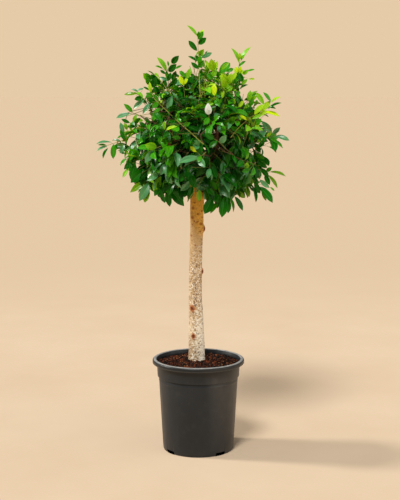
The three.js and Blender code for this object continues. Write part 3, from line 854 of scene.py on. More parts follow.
    # the foot is paler on its right side: partly chalky weathering, partly painted light
    chalk_and_painted_light = n.maths("MULTIPLY", n.ramp(n.maths("MULTIPLY", sep.outputs["X"], 10.0), [(0.00, 0.0), (0.17, 1.0)]),
                    n.ramp(sep.outputs["Z"], [(0.40, 1.0), (0.50, 0.0)]))
    col = n.mix(n.maths("MULTIPLY", n.maths("MULTIPLY", chalk_and_painted_light, n.attribute("stem")), 0.62), col, srgb(250, 240, 222))
    col = n.mix(n.maths("MULTIPLY", n.attribute("speck"), 0.80), col, srgb(96, 64, 36))
    fleck = n.noise(v, 330.0, 2.0, 0.5)
    col = n.mix(n.maths("MULTIPLY", n.ramp(fleck, [(0.30, 1.0), (0.40, 0.0)]), n.maths("MULTIPLY", n.attribute("flaky"), 0.62)), col, srgb(104, 72, 42))
    col = n.mix(n.maths("MULTIPLY", n.ramp(fleck, [(0.60, 0.0), (0.68, 1.0)]), n.maths("MULTIPLY", n.attribute("flaky"), 0.80)), col, srgb(255, 252, 244))
    col = n.mix(n.maths("MULTIPLY", n.attribute("lenticel"), 0.70), col, srgb(140, 60, 14))
    col = n.mix(n.maths("MULTIPLY", n.attribute("knot"), 0.84), col, srgb(172, 100, 48))
    col = n.mix(n.maths("MULTIPLY", n.attribute("scar"), 0.92), col, srgb(88, 38, 17))
    n.link(col, n.b.inputs["Base Color"])
    n.b.inputs["Roughness"].default_value = 0.8
    n.b.inputs["Specular IOR Level"].default_value = 0.25
    n.bump(n.maths("ADD", mott, n.maths("MULTIPLY", mott2, 0.6)), 0.45, 0.0012)
    me.materials.clear()
    me.materials.append(n.m)
    piece(ob, "bark", "trunk", *BOUGHS)
    return ob


make_wood()


# ------------------------------------------------------------------ where the leafy shoots end
def crown_surface():
    """Points spread evenly over the outer faces of the masses of foliage."""
    P = []
    for name, ob in NODES.items():
        if not name.startswith("foliage_"):
            continue
        me = ob.data
        me.calc_loop_triangles()
        co = np.array([v.co for v in me.vertices], float)
        tri = np.array([t.vertices for t in me.loop_triangles])
        a, b, c = co[tri[:, 0]], co[tri[:, 1]], co[tri[:, 2]]
        fn = np.cross(b - a, c - a)
        area = np.linalg.norm(fn, axis=1) / 2
        fn = unit(fn)
        mid = (a + b + c) / 3
        out = unit(mid - MIDDLE)
        keep = ((fn * out).sum(1) > 0.35) & (np.linalg.norm(mid - MIDDLE, axis=1) > 0.17) & (area > 1e-9)
        count = np.maximum(1, (area[keep] * 26000).astype(int))
        ia = np.repeat(np.nonzero(keep)[0], count)
        u, v = rng.random(len(ia)), rng.random(len(ia))
        flip = u + v > 1
        u, v = np.where(flip, 1 - u, u), np.where(flip, 1 - v, v)
        P.append(a[ia] + (b - a)[ia] * u[:, None] + (c - a)[ia] * v[:, None])
    return np.concatenate(P)


def spaced(points, gap):
    """Thins points so that no two are closer than gap."""
    kept = np.zeros((0, 3))
    for i in rng.permutation(len(points)):
        if len(kept) == 0 or np.min(((kept - points[i]) ** 2).sum(1)) > gap ** 2:
            kept = np.concatenate([kept, points[i][None]])
    return kept


SURFACE = crown_surface()

# openings in the crown where sky shows, seen from the front: x, z and half-width
SKY = [(-0.030, 1.289, 0.0101), (-0.011, 1.269, 0.0108), (-0.065, 1.268, 0.0101), (-0.130, 1.276, 0.0088),
       (-0.169, 1.235, 0.0122), (-0.191, 1.227, 0.0101), (-0.224, 1.211, 0.0101), (-0.214, 1.183, 0.0101),
       (-0.195, 1.146, 0.0155), (-0.169, 1.135, 0.0101), (-0.233, 1.123, 0.0081), (-0.272, 1.067, 0.0135),
       (-0.252, 1.051, 0.0068), (-0.240, 0.920, 0.0135), (-0.254, 0.944, 0.0101), (-0.228, 0.892, 0.0101),
       (-0.141, 0.849, 0.0135), (-0.039, 0.841, 0.0115), (0.125, 0.826, 0.0115), (0.177, 0.872, 0.0088),
       (0.155, 1.200, 0.0155), (0.176, 1.221, 0.0101), (0.249, 1.102, 0.0149), (0.276, 1.079, 0.0135),
       (0.220, 1.120, 0.0074), (0.230, 1.010, 0.0142), (0.239, 0.952, 0.0088), (0.213, 0.942, 0.0068),
       (0.056, 1.326, 0.0169), (0.069, 1.302, 0.0101), (-0.197, 0.967, 0.0115), (0.174, 1.005, 0.0101),
       (0.193, 1.016, 0.0081), (0.156, 1.039, 0.0068), (-0.149, 1.175, 0.0101), (-0.164, 1.121, 0.0088),
       (-0.189, 1.100, 0.0088), (-0.212, 1.057, 0.0088), (-0.227, 1.040, 0.0081), (0.211, 0.962, 0.0061),
       (0.035, 1.321, 0.0101), (-0.086, 1.255, 0.0068), (0.025, 1.305, 0.0068), (-0.167, 0.849, 0.0101),
       (0.253, 1.046, 0.0068), (-0.215, 1.159, 0.0081), (-0.240, 1.094, 0.0074), (-0.048, 1.305, 0.0108),
       (-0.244, 1.149, 0.0081), (-0.127, 0.844, 0.0101), (0.143, 1.193, 0.0088), (0.230, 1.031, 0.0081),
       (-0.150, 1.287, 0.0101), (-0.170, 1.247, 0.0074), (-0.040, 1.281, 0.0095), (0.145, 1.209, 0.0095),
       (-0.169, 1.126, 0.0074), (0.242, 1.120, 0.0101), (0.236, 0.959, 0.0068), (-0.195, 0.958, 0.0081),
       (-0.146, 0.860, 0.0088), (-0.160, 0.874, 0.0074), (-0.066, 0.829, 0.0088), (0.174, 0.839, 0.0101),
       (0.165, 0.815, 0.0101), (0.224, 1.015, 0.0101), (0.224, 0.995, 0.0088), (-0.111, 0.830, 0.0101),
       (-0.080, 0.829, 0.0088), (-0.079, 0.810, 0.0088), (-0.136, 0.856, 0.0101), (-0.043, 0.846, 0.0068),
       (0.135, 0.849, 0.0074), (0.152, 0.871, 0.0074), (0.111, 0.837, 0.0068), (-0.272, 1.089, 0.0068),
       (-0.239, 1.086, 0.0074), (-0.208, 1.126, 0.0081), (-0.180, 1.211, 0.0074), (-0.115, 1.260, 0.0061),
       (-0.254, 0.971, 0.0101), (-0.016, 1.292, 0.0068), (0.209, 1.116, 0.0054), (-0.137, 1.287, 0.0122),
       (-0.006, 1.271, 0.0095), (-0.120, 1.258, 0.0078), (-0.179, 1.252, 0.0085), (0.171, 1.232, 0.0122),
       (0.168, 1.248, 0.0078), (-0.212, 1.222, 0.0112), (-0.183, 1.213, 0.0078), (0.142, 1.187, 0.0078),
       (-0.216, 1.177, 0.0122), (-0.220, 1.164, 0.0078), (-0.190, 1.151, 0.0125), (-0.210, 1.128, 0.0112),
       (-0.263, 1.112, 0.0101), (0.225, 1.026, 0.0085), (0.242, 0.954, 0.0122), (0.269, 0.944, 0.0078),
       (0.239, 0.937, 0.0078), (-0.142, 0.841, 0.0135), (-0.156, 0.847, 0.0135), (0.144, 0.851, 0.0078),
       (-0.033, 0.844, 0.0078), (-0.301, 1.090, 0.0169)]
# dents in the front where the dark middle and the boughs show: x, z and half-width
DENTS = [(0.060, 1.066, 0.026), (-0.046, 1.008, 0.029), (0.060, 1.004, 0.032), (0.010, 0.985, 0.020), (0.100, 1.030, 0.020),
         (-0.020, 1.080, 0.018)]
# where the new growth is lime: x, y, z and reach
LIME = [(0.010, -0.06, 1.330, 0.08), (0.140, -0.05, 1.290, 0.080), (0.090, -0.14, 1.225, 0.040),
        (0.050, -0.11, 1.290, 0.055), (-0.120, -0.05, 1.290, 0.040), (0.240, -0.09, 1.140, 0.075),
        (0.10, 0.16, 1.26, 0.07), (-0.15, 0.15, 1.20, 0.05), (0.22, 0.14, 1.12, 0.05), (-0.05, 0.23, 1.12, 0.04),
        (-0.23, 0.05, 1.10, 0.04), (0.170, -0.15, 1.130, 0.035)]

KINDS = ["deep", "dark", "green", "fresh", "lime", "gold", "pale", "sheen", "olive"]
DEEP, DARK, GREEN, FRESH, LIMEY, GOLD, PALE, SHEEN, OLIVE = range(9)
KIND_FINISH = {  # upper face, underside, midrib; gloss
    "deep": ((8, 70, 2), (30, 90, 6), (28, 98, 8), 0.13),
    "dark": ((20, 101, 3), (42, 110, 10), (50, 130, 14), 0.17),
    "green": ((54, 146, 4), (76, 146, 16), (88, 166, 24), 0.26),
    "fresh": ((114, 184, 14), (130, 182, 28), (156, 208, 36), 0.28),
    "lime": ((162, 216, 26), (166, 212, 34), (200, 236, 56), 0.20),
    "gold": ((200, 240, 4), (194, 224, 44), (226, 246, 68), 0.20),
    "pale": ((244, 255, 255), (236, 250, 246), (246, 255, 255), 0.60),
    "sheen": ((68, 142, 82), (88, 148, 76), (110, 172, 98), 0.90),
    "olive": ((96, 144, 4), (124, 158, 28), (148, 180, 38), 0.32),
}


EYE = np.array(cam.location)


def near_lime(p):
    return max(math.exp(-((p[0] - x) ** 2 + (p[1] - y) ** 2 + (p[2] - z) ** 2) / (r * r)) for x, y, z, r in LIME)


def flat_view(p):
    """Points brought along the lines of sight onto the upright plane through the stem."""
    t = EYE[1] / (EYE[1] - p[..., 1])
    return EYE[0] + t * (p[..., 0] - EYE[0]), EYE[2] + t * (p[..., 2] - EYE[2])


def in_sky(p):
    p = np.atleast_2d(p)
    px, pz = flat_view(p)
    hit = np.zeros(len(p), bool)
    for x, z, r in SKY:
        hit |= np.hypot(px - x, pz - z) < r
    return hit


def in_dent(p, grow=0.0):
    return p[1] < -0.04 and any(math.hypot(p[0] - x, p[2] - z) < r + grow for x, z, r in DENTS)


IN_VIEW = {"long_twig": 0.0017, "right_lime": 0.0015, "leader": 0.0016, "far_left": 0.0015}   # stems seen along their length


SPRAYS = {  # [x, y, z] down the stem; blades: x, z of foot and point, width, kind, depth (mm)
    "leader": ([[7, -165, 1189], [4, -146, 1236], [2, -127, 1274], [1, -108, 1312], [-1, -89, 1350], [-2, -70, 1379]], [
        [-4, 1383, -36, 1416, 11, "fresh", -70], [2, 1381, 19, 1403, 9, "lime", -70],
        [0, 1379, 2, 1397, 12, "green", -70], [1, 1356, 26, 1375, 21, "dark", -89],
        [-4, 1335, -31, 1367, 18, "dark", -89], [3, 1317, 18, 1339, 19, "fresh", -108],
        [10, 1313, 44, 1328, 15, "sheen", -108], [-5, 1301, -33, 1317, 9, "dark", -108],
        [1, 1278, -23, 1298, 14, "dark", -127], [2, 1282, 18, 1304, 20, "green", -127],
        [1, 1309, -10, 1320, 10, "dark", -108], [1, 1371, 16, 1397, 17, "green", -70],
        [2, 1289, 7, 1319, 15, "green", -127]]),
    "left_crest": ([[-98, -70, 1179], [-120, -70, 1208], [-142, -70, 1229]], [
        [-154, 1241, -167, 1266, 20, "green", -70], [-133, 1240, -151, 1261, 20, "dark", -70],
        [-123, 1230, -139, 1248, 17, "dark", -70], [-126, 1208, -144, 1221, 17, "dark", -70],
        [-117, 1221, -104, 1243, 17, "dark", -70], [-146, 1198, -128, 1174, 15, "green", -70]]),
    "crest_dark": ([[-39, -90, 1167], [-55, -90, 1195], [-68, -90, 1224]], [
        [-81, 1228, -67, 1250, 17, "dark", -90], [-49, 1205, -55, 1224, 18, "dark", -90],
        [-62, 1211, -79, 1226, 17, "green", -90], [-33, 1230, -15, 1257, 17, "dark", -90],
        [-26, 1217, -6, 1233, 17, "green", -90], [-97, 1241, -87, 1266, 17, "dark", -90]]),
    "left_hollow": ([[-131, -60, 1089], [-153, -60, 1092], [-173, -60, 1092]], [
        [-170, 1095, -191, 1107, 13, "dark", -60], [-176, 1081, -195, 1086, 13, "green", -60],
        [-156, 1105, -173, 1122, 12, "dark", -60], [-199, 1099, -225, 1092, 13, "dark", -60],
        [-240, 1050, -252, 1081, 15, "dark", -60], [-223, 1106, -249, 1118, 12, "dark", -60]]),
    "upper_lime": ([[47, -100, 1224], [46, -100, 1249], [46, -100, 1273]], [
        [47, 1271, 41, 1309, 27, "lime", -100], [50, 1274, 62, 1303, 15, "lime", -100],
        [36, 1277, 20, 1306, 10, "lime", -100], [41, 1252, 60, 1275, 17, "fresh", -100],
        [47, 1246, 26, 1263, 17, "green", -100]]),
    "upper_right": ([[103, -40, 1205], [120, -42, 1253], [130, -44, 1282], [134, -46, 1302]], [
        [131, 1298, 106, 1345, 13, "fresh", -46], [138, 1304, 170, 1349, 12, "fresh", -46],
        [133, 1309, 133, 1331, 13, "lime", -46], [130, 1285, 154, 1304, 9, "green", -44],
        [130, 1266, 138, 1287, 13, "gold", -44], [145, 1237, 126, 1270, 21, "dark", -42],
        [156, 1270, 183, 1277, 7, "green", -44], [165, 1246, 183, 1247, 8, "lime", -42],
        [140, 1229, 159, 1246, 13, "fresh", -42], [135, 1215, 162, 1228, 8, "dark", -40],
        [145, 1261, 162, 1276, 14, "fresh", -44], [123, 1258, 122, 1287, 15, "gold", -42],
        [131, 1256, 146, 1276, 14, "lime", -42], [119, 1216, 135, 1242, 17, "dark", -40],
        [113, 1230, 124, 1256, 16, "green", -42]]),
    "middle_lime": ([[85, -120, 1170], [87, -120, 1205], [89, -120, 1233]], [
        [91, 1230, 72, 1263, 26, "lime", -120], [93, 1232, 106, 1264, 23, "lime", -120],
        [84, 1217, 80, 1251, 23, "lime", -120], [104, 1241, 122, 1268, 15, "lime", -120],
        [82, 1209, 75, 1184, 11, "lime", -120], [71, 1275, 98, 1297, 14, "fresh", -120],
        [88, 1269, 112, 1278, 14, "green", -120]]),
    "upper_left": ([[-40, -22, 1166], [-71, -25, 1214], [-94, -27, 1246], [-102, -30, 1272]], [
        [-104, 1272, -134, 1316, 16, "fresh", -30], [-86, 1297, -62, 1321, 21, "dark", -30],
        [-96, 1270, -70, 1294, 22, "dark", -30], [-74, 1279, -52, 1290, 8, "green", -30],
        [-96, 1288, -99, 1305, 7, "green", -30], [-116, 1279, -140, 1288, 7, "green", -30],
        [-106, 1263, -124, 1275, 10, "dark", -30], [-100, 1248, -104, 1273, 12, "green", -27],
        [-97, 1241, -128, 1252, 13, "sheen", -27], [-85, 1240, -72, 1273, 17, "dark", -27]]),
    "gold_pair": ([[-39, -130, 1148], [-43, -130, 1186], [-46, -130, 1225]], [
        [-48, 1227, -60, 1257, 16, "gold", -130], [-44, 1229, -34, 1251, 11, "gold", -130],
        [-37, 1246, -23, 1281, 17, "fresh", -130], [-39, 1252, -60, 1271, 14, "green", -130]]),
    "left_shoulder": ([[-125, -40, 1140], [-157, -40, 1166], [-180, -40, 1185], [-199, -40, 1198]], [
        [-204, 1198, -241, 1196, 12, "olive", -40], [-195, 1204, -220, 1214, 7, "sheen", -40],
        [-177, 1216, -199, 1210, 7, "sheen", -40], [-160, 1210, -179, 1221, 7, "dark", -40],
        [-176, 1179, -212, 1150, 17, "sheen", -40], [-183, 1187, -207, 1181, 17, "dark", -40],
        [-151, 1172, -181, 1133, 16, "sheen", -40], [-136, 1168, -170, 1190, 20, "dark", -40]]),
    "left_high": ([[-158, -34, 1101], [-183, -37, 1123], [-203, -39, 1134], [-217, -42, 1138]], [
        [-214, 1140, -242, 1167, 15, "green", -42], [-222, 1135, -268, 1120, 16, "sheen", -42],
        [-200, 1132, -213, 1111, 12, "fresh", -39]]),
    "far_left": ([[-171, -40, 1082], [-213, -44, 1067], [-251, -48, 1047], [-278, -52, 1038], [-299, -56, 1032]], [
        [-283, 1042, -332, 1037, 7, "sheen", -52], [-299, 1033, -326, 1034, 7, "green", -56],
        [-296, 1029, -333, 1012, 8, "sheen", -56], [-294, 1023, -310, 990, 10, "dark", -56],
        [-275, 1036, -278, 988, 20, "green", -52], [-265, 1037, -271, 1012, 10, "dark", -52],
        [-243, 1071, -253, 1107, 17, "sheen", -48], [-232, 1082, -239, 1105, 13, "fresh", -44],
        [-219, 1080, -221, 1102, 11, "fresh", -44], [-231, 1059, -247, 1044, 14, "olive", -44],
        [-242, 1035, -255, 1006, 17, "sheen", -48]]),
    "left_low": ([[-158, -46, 1011], [-184, -46, 994], [-210, -46, 984]], [
        [-235, 990, -255, 966, 9, "green", -46], [-215, 983, -243, 954, 20, "dark", -46],
        [-227, 958, -247, 927, 13, "fresh", -46], [-206, 971, -222, 922, 24, "dark", -46]]),
    "low_left_corner": ([[-138, -50, 965], [-158, -50, 942], [-163, -50, 919]], [
        [-177, 955, -221, 911, 30, "dark", -50], [-173, 913, -223, 879, 23, "olive", -50],
        [-159, 911, -193, 851, 30, "sheen", -50], [-161, 887, -176, 845, 18, "olive", -50]]),
    "low_left_front": ([[-84, -120, 976], [-102, -120, 950], [-113, -120, 931]], [
        [-117, 936, -145, 891, 26, "fresh", -120], [-122, 912, -141, 873, 20, "dark", -120]]),
    "bottom_left": ([[-72, -80, 948], [-91, -80, 918], [-97, -80, 896]], [
        [-122, 891, -108, 846, 17, "dark", -80], [-98, 885, -93, 834, 20, "dark", -80],
        [-94, 896, -46, 836, 33, "dark", -80]]),
    "bottom_front_left": ([[-7, -118, 970], [-17, -118, 937], [-21, -118, 920]], [
        [-23, 921, -57, 890, 23, "sheen", -118], [-19, 905, -32, 860, 21, "dark", -118],
        [3, 894, 3, 856, 20, "fresh", -118]]),
    "bottom_front": ([[44, -100, 962], [48, -97, 917], [53, -94, 877]], [
        [45, 864, 20, 813, 33, "dark", -94], [64, 851, 39, 814, 15, "green", -94],
        [85, 868, 76, 802, 30, "dark", -94], [77, 905, 102, 867, 30, "sheen", -97],
        [33, 915, 74, 907, 18, "green", -97], [24, 928, -13, 917, 20, "sheen", -97],
        [22, 910, -7, 886, 23, "sheen", -97], [95, 871, 97, 815, 23, "dark", -94],
        [67, 877, 61, 830, 21, "dark", -94]]),
    "bottom_right": ([[103, -80, 948], [106, -80, 909], [104, -80, 876]], [
        [100, 869, 114, 816, 10, "green", -80], [119, 868, 145, 821, 17, "dark", -80],
        [124, 885, 153, 863, 17, "olive", -80]]),
    "low_right_corner": ([[136, -44, 965], [165, -44, 932], [189, -44, 909]], [
        [179, 899, 189, 845, 13, "dark", -44], [158, 900, 167, 862, 14, "olive", -44],
        [200, 897, 244, 844, 23, "dark", -44], [209, 886, 223, 850, 15, "olive", -44],
        [237, 895, 250, 883, 7, "green", -44], [201, 920, 233, 893, 18, "sheen", -44],
        [184, 914, 203, 874, 18, "dark", -44]]),
    "low_right": ([[171, -14, 963], [200, -14, 950], [223, -14, 942]], [
        [237, 943, 289, 928, 10, "olive", -14], [230, 933, 262, 889, 12, "olive", -14],
        [220, 933, 236, 901, 18, "dark", -14], [225, 946, 242, 959, 14, "green", -14],
        [188, 991, 236, 978, 18, "dark", -14], [195, 979, 227, 956, 18, "dark", -14],
        [190, 1002, 218, 987, 15, "green", -14], [207, 956, 232, 926, 18, "dark", -14],
        [177, 930, 199, 903, 17, "dark", -14], [196, 1025, 218, 1045, 17, "dark", -14],
        [189, 1027, 205, 1007, 17, "dark", -14], [222, 990, 232, 963, 17, "dark", -14]]),
    "far_right": ([[163, -24, 1039], [196, -26, 1052], [222, -28, 1057], [245, -30, 1059]], [
        [240, 1071, 208, 1111, 23, "sheen", -30], [243, 1069, 268, 1090, 16, "sheen", -30],
        [252, 1061, 298, 1047, 15, "sheen", -30], [236, 1052, 278, 1021, 12, "green", -30],
        [247, 1043, 251, 1011, 24, "dark", -30], [212, 1055, 191, 1041, 12, "fresh", -28],
        [224, 1059, 239, 1079, 11, "lime", -28]]),
    "right_lime": ([[102, -180, 1063], [119, -161, 1084], [136, -142, 1100], [157, -122, 1117], [185, -103, 1136], [210, -84, 1151]], [
        [179, 1134, 212, 1167, 17, "lime", -103], [211, 1141, 263, 1126, 13, "gold", -84],
        [234, 1170, 265, 1189, 8, "lime", -84], [226, 1151, 268, 1170, 8, "dark", -84],
        [224, 1157, 250, 1151, 8, "green", -84], [233, 1173, 208, 1204, 12, "green", -84],
        [211, 1165, 184, 1203, 17, "fresh", -84], [202, 1144, 232, 1177, 19, "lime", -84],
        [190, 1129, 220, 1146, 15, "lime", -103], [171, 1120, 203, 1132, 13, "fresh", -122],
        [181, 1102, 201, 1120, 17, "green", -122], [155, 1115, 128, 1131, 10, "gold", -122]]),
    "right_shoulder": ([[134, -90, 1128], [150, -90, 1154], [160, -90, 1175]], [
        [161, 1177, 167, 1210, 18, "fresh", -90], [170, 1180, 187, 1193, 13, "fresh", -90],
        [129, 1155, 146, 1178, 13, "lime", -90], [163, 1159, 177, 1184, 17, "green", -90],
        [147, 1147, 165, 1170, 15, "fresh", -90]]),
    "white_leaf": ([[35, -214, 1106], [34, -214, 1122], [33, -214, 1135]], [
        [32, 1135, 30, 1172, 23, "pale", -214], [34, 1125, 17, 1105, 19, "green", -214]]),
    "gold_leaf": ([[54, -178, 1155], [52, -178, 1177], [51, -178, 1194]], [
        [50, 1194, 49, 1230, 20, "gold", -178], [52, 1180, 67, 1160, 16, "green", -178]]),
    "small_gold": ([[15, -236, 996], [6, -236, 1011], [-5, -236, 1021]], [
        [-6, 1021, -25, 1038, 13, "gold", -236], [9, 1008, -2, 990, 16, "green", -236]]),
    "round_green": ([[-114, -172, 1036], [-127, -172, 1032], [-135, -172, 1028]], [
        [-132, 1032, -167, 1042, 26, "fresh", -172], [-138, 1025, -168, 984, 24, "sheen", -172]]),
    "teal": ([[24, -238, 1021], [12, -238, 1010], [1, -238, 1003]], [
        [1, 1003, -60, 988, 22, "sheen", -238], [2, 999, 22, 974, 22, "sheen", -238]]),
    "small_round": ([[138, -186, 993], [146, -186, 980], [151, -186, 968]], [
        [152, 967, 152, 987, 16, "fresh", -186], [141, 990, 119, 973, 20, "dark", -186]]),
    "front_arc": ([[86, -236, 1030], [64, -236, 1052], [43, -236, 1064]], [
        [49, 1061, 21, 1078, 19, "dark", -236], [68, 1049, 87, 1074, 21, "sheen", -236],
        [58, 1055, 33, 1035, 19, "dark", -236]]),
    "left_lime_spray": ([[-70, -190, 1056], [-88, -190, 1081], [-104, -190, 1088]], [
        [-101, 1086, -65, 1098, 10, "lime", -190], [-105, 1088, -107, 1114, 12, "fresh", -190],
        [-92, 1083, -110, 1064, 16, "dark", -190], [-77, 1068, -54, 1060, 15, "green", -190]]),
    "long_twig": ([[17, -246, 1045], [-4, -224, 1062], [-24, -202, 1080], [-48, -181, 1099], [-71, -159, 1119], [-100, -137, 1146], [-128, -115, 1171], [-146, -94, 1192], [-153, -72, 1217], [-155, -50, 1241]], [
        [-128, 1171, -146, 1154, 17, "green", -115], [-100, 1146, -75, 1155, 16, "dark", -137],
        [-96, 1145, -82, 1197, 20, "sheen", -137], [-71, 1119, -87, 1095, 18, "dark", -159],
        [-48, 1099, -24, 1110, 16, "green", -181], [-26, 1081, -44, 1063, 15, "dark", -202],
        [-154, 1241, -177, 1265, 24, "fresh", -50], [-147, 1221, -134, 1254, 23, "dark", -72],
        [-155, 1229, -166, 1254, 20, "green", -72], [-151, 1203, -155, 1237, 13, "lime", -94],
        [-145, 1189, -167, 1202, 15, "green", -94]]),
    "fork_left": ([[-17, -60, 910], [-24, -60, 912], [-28, -60, 912]], [
        [-17, 902, -29, 857, 16, "dark", -60], [-27, 907, -44, 864, 17, "dark", -60]]),
    "crest_gold": ([[-101, -34, 1269], [-105, -34, 1275], [-109, -34, 1281]], [
        [-111, 1284, -127, 1306, 9, "gold", -34]]),
}


shade_rng = np.random.default_rng(77)                       # the colours have their own dice


def point_kind(p, height, outer=True):
    """Colour class of a spray, dealt by place and chance."""
    if outer and shade_rng.random() < near_lime(p) * 0.9:
        return LIMEY if shade_rng.random() < 0.5 else FRESH
    # shoots deep inside the crown get darker kinds: painted shade
    r = shade_rng.random() + 0.26 * height - (0.0 if outer else 0.30)
    return DEEP if r < 0.28 else DARK if r < 0.60 else GREEN if r < 0.95 else FRESH


def plan_shoots():
    """A leafy shoot to every few centimetres of the crown's face, and darker ones behind: painted shade inside the
    crown.
    """
    out_rows = []
    up = np.array([0, 0, 1.0])
    taken = []
    for stem, blades_ in SPRAYS.values():
        taken.append(np.array(stem[-1]) / 1000.0)
    taken = np.array(taken)
    hollow = fbm(unit(SURFACE - MIDDLE) * 3.1, 2, 8)
    for layer, gap in (("outer", 0.0380), ("inner", 0.0430)):
        for p in spaced(SURFACE, gap):
            n = unit(p - MIDDLE)
            low = smooth01(-n[2], -0.10, 0.85)
            dent = in_dent(p, 0.0)
            if layer == "outer":
                if dent or in_sky(p)[0]:
                    continue
                h = float(noise3((n * 3.4 + 5.0)[None], 8)[0])
                inset = 0.006 + 0.020 * low + rng.uniform(-0.010, 0.016) + 0.030 * max(0.0, -h)
                tip = p - n * inset
                if np.min(np.linalg.norm(taken - tip, axis=1)) < 0.018:
                    continue
                way = unit(n + up * (0.55 * max(0.0, n[2]) + 0.10) + rng.normal(0, 0.46, 3))
                length = rng.uniform(0.050, 0.100)
                leaves = int(round(length / 0.0104)) + int(rng.integers(0, 2))
                droop = 0.12 + 0.85 * smooth01(-n[2], -0.65, 0.60) + rng.uniform(-0.10, 0.18)
                kind = point_kind(tip, n[2])
                size = rng.uniform(0.74, 1.14) * (1 + 0.12 * low - 0.08 * max(0.0, n[2]))
            else:
                if in_dent(p, 0.012):
                    continue
                tip = p - n * rng.uniform(0.068, 0.110)
                if in_sky(tip)[0]:
                    continue
                way = unit(n + rng.normal(0, 0.5, 3))
                length = rng.uniform(0.045, 0.070)
                leaves = int(rng.integers(3, 6))
                droop = 0.35 + rng.uniform(0, 0.5)
                kind = point_kind(tip, n[2], False)
                size = rng.uniform(0.8, 1.05)
            out_rows.append(dict(foot=tip - way * length, way=way, length=length, leaves=leaves, kind=kind, droop=droop,
                                 size=size, bend=rng.uniform(-0.15, 0.35), low=float(low), layer=layer))
    return out_rows


SHOOTS = plan_shoots()


# ------------------------------------------------------------------ twigs: grown from the boughs to the shoots
def grow(targets, start_paths):
    """Branches creep from the boughs towards the feet of the shoots, forking as they go."""
    pos, par, kind = [], [], []
    for path in start_paths:
        prev = -1
        for q in path:
            pos.append(q); par.append(prev); kind.append(1)
            prev = len(pos) - 1
    step, reach, kill = 0.0095, 0.30, 0.0125
    alive = np.arange(len(targets))
    d = np.linalg.norm(targets[:, None, :] - np.array(pos)[None], axis=2)
    near_i, near_d = d.argmin(1), d.min(1)
    g = np.random.default_rng(77)
    for _ in range(140):
        done = near_d[alive] < kill
        for t in alive[done]:
            pos.append(targets[t]); par.append(int(near_i[t])); kind.append(3)
        alive = alive[~done]
        if len(alive) == 0:
            break
        groups = {}
        for t in alive[near_d[alive] < reach]:
            groups.setdefault(int(near_i[t]), []).append(t)
        fresh = []
        for node, ts in groups.items():
            v = unit(targets[ts] - pos[node]).mean(0)
            along = unit(pos[node] - pos[par[node]]) if par[node] >= 0 else np.zeros(3)
            v = unit(v + 0.28 * along + g.normal(0, 0.16, 3) + 0.10 * unit(pos[node] - MIDDLE))
            fresh.append((pos[node] + v * step, node))
        for q, node in fresh:
            pos.append(q); par.append(node); kind.append(2)
            dn = np.linalg.norm(targets[alive] - q, axis=1)
            closer = dn < near_d[alive]
            near_d[alive[closer]] = dn[closer]
            near_i[alive[closer]] = len(pos) - 1
    for t in alive:
        pos.append(targets[t]); par.append(int(near_i[t])); kind.append(3)
    return np.array(pos), np.array(par), np.array(kind)


def make_twigs():
    feet = [s["foot"] for s in SHOOTS] + [np.array(stem[0]) / 1000.0 for stem, _ in SPRAYS.values()]
    starts = [catmull(bough_path(n), 26)[4:] for n in BOUGHS]
    pos, par, kind = grow(np.array(feet), starts)
    n = len(pos)
    kids = [[] for _ in range(n)]
    for i, p in enumerate(par):
        if p >= 0:
            kids[p].append(i)
    for _ in range(3):                                      # soften the zigzags
        new = pos.copy()
        for i in range(n):
            if kind[i] == 2 and kids[i]:
                new[i] = 0.5 * pos[i] + 0.25 * pos[par[i]] + 0.25 * pos[kids[i]].mean(0)
        pos = new
    power = 2.35
    flow = np.zeros(n)
    for i in range(n - 1, -1, -1):
        if not kids[i]:
            flow[i] = max(flow[i], 0.00100 ** power)
        if par[i] >= 0:
            flow[par[i]] += flow[i]
    rad_ = np.minimum(flow ** (1 / power), 0.0054)
    V, Q, T, base = [], [], [], 0
    for i in range(n):
        for k in kids[i]:
            if kind[k] == 1 or (kind[i] != 1 and k == max(kids[i], key=lambda c: flow[c])):
                continue
            chain = [i, k]
            while True:
                c = [q for q in kids[chain[-1]] if kind[q] != 1]
                if not c:
                    break
                chain.append(max(c, key=lambda q: flow[q]))
            p, r = pos[chain], rad_[chain].copy()
            r[0] = min(r[0], r[1] * 1.25)
            if len(p) < 3:
                p, r = np.array([p[0], (p[0] + p[-1]) / 2, p[-1]]), np.array([r[0], r[1], r[1]])
            v, q, t = tube(p, r, 7 if r.max() > 0.0025 else 5)
            V.append(v); Q.append(q + base); T.append(t + base); base += len(v)
    nk = Nodes("twig_bark")
    v = nk.coords()
    mot = nk.noise(v, 260.0, 4.0, 0.6)
    nk.link(nk.ramp(mot, [(0.3, srgb(62, 40, 26)), (0.55, srgb(98, 66, 40)), (0.75, srgb(138, 102, 64))]), nk.b.inputs["Base Color"])
    nk.b.inputs["Roughness"].default_value = 0.75
    nk.bump(mot, 0.4, 0.0006)
    ob = mesh_object("twigs", np.concatenate(V), np.concatenate(Q), np.concatenate(T), materials=[nk.m])
    piece(ob, "bough_bark")


make_twigs()


# ------------------------------------------------------------------ leaves
U = np.array([0.045, 0.14, 0.27, 0.42, 0.58, 0.74, 0.87, 0.955])      # stations along the blade
OVAL = np.array([0.30, 0.64, 0.90, 1.00, 0.95, 0.72, 0.38, 0.13])     # half-width, broadest at the middle
SPOON = np.array([0.20, 0.46, 0.72, 0.90, 1.00, 0.90, 0.52, 0.17])    # half-width, broadest beyond it
MID = 0.055                                                           # half-width of the midrib
ACROSS = np.array([-1.0, -0.52, -MID, MID, 0.52, 1.0])
ROWS = len(U)


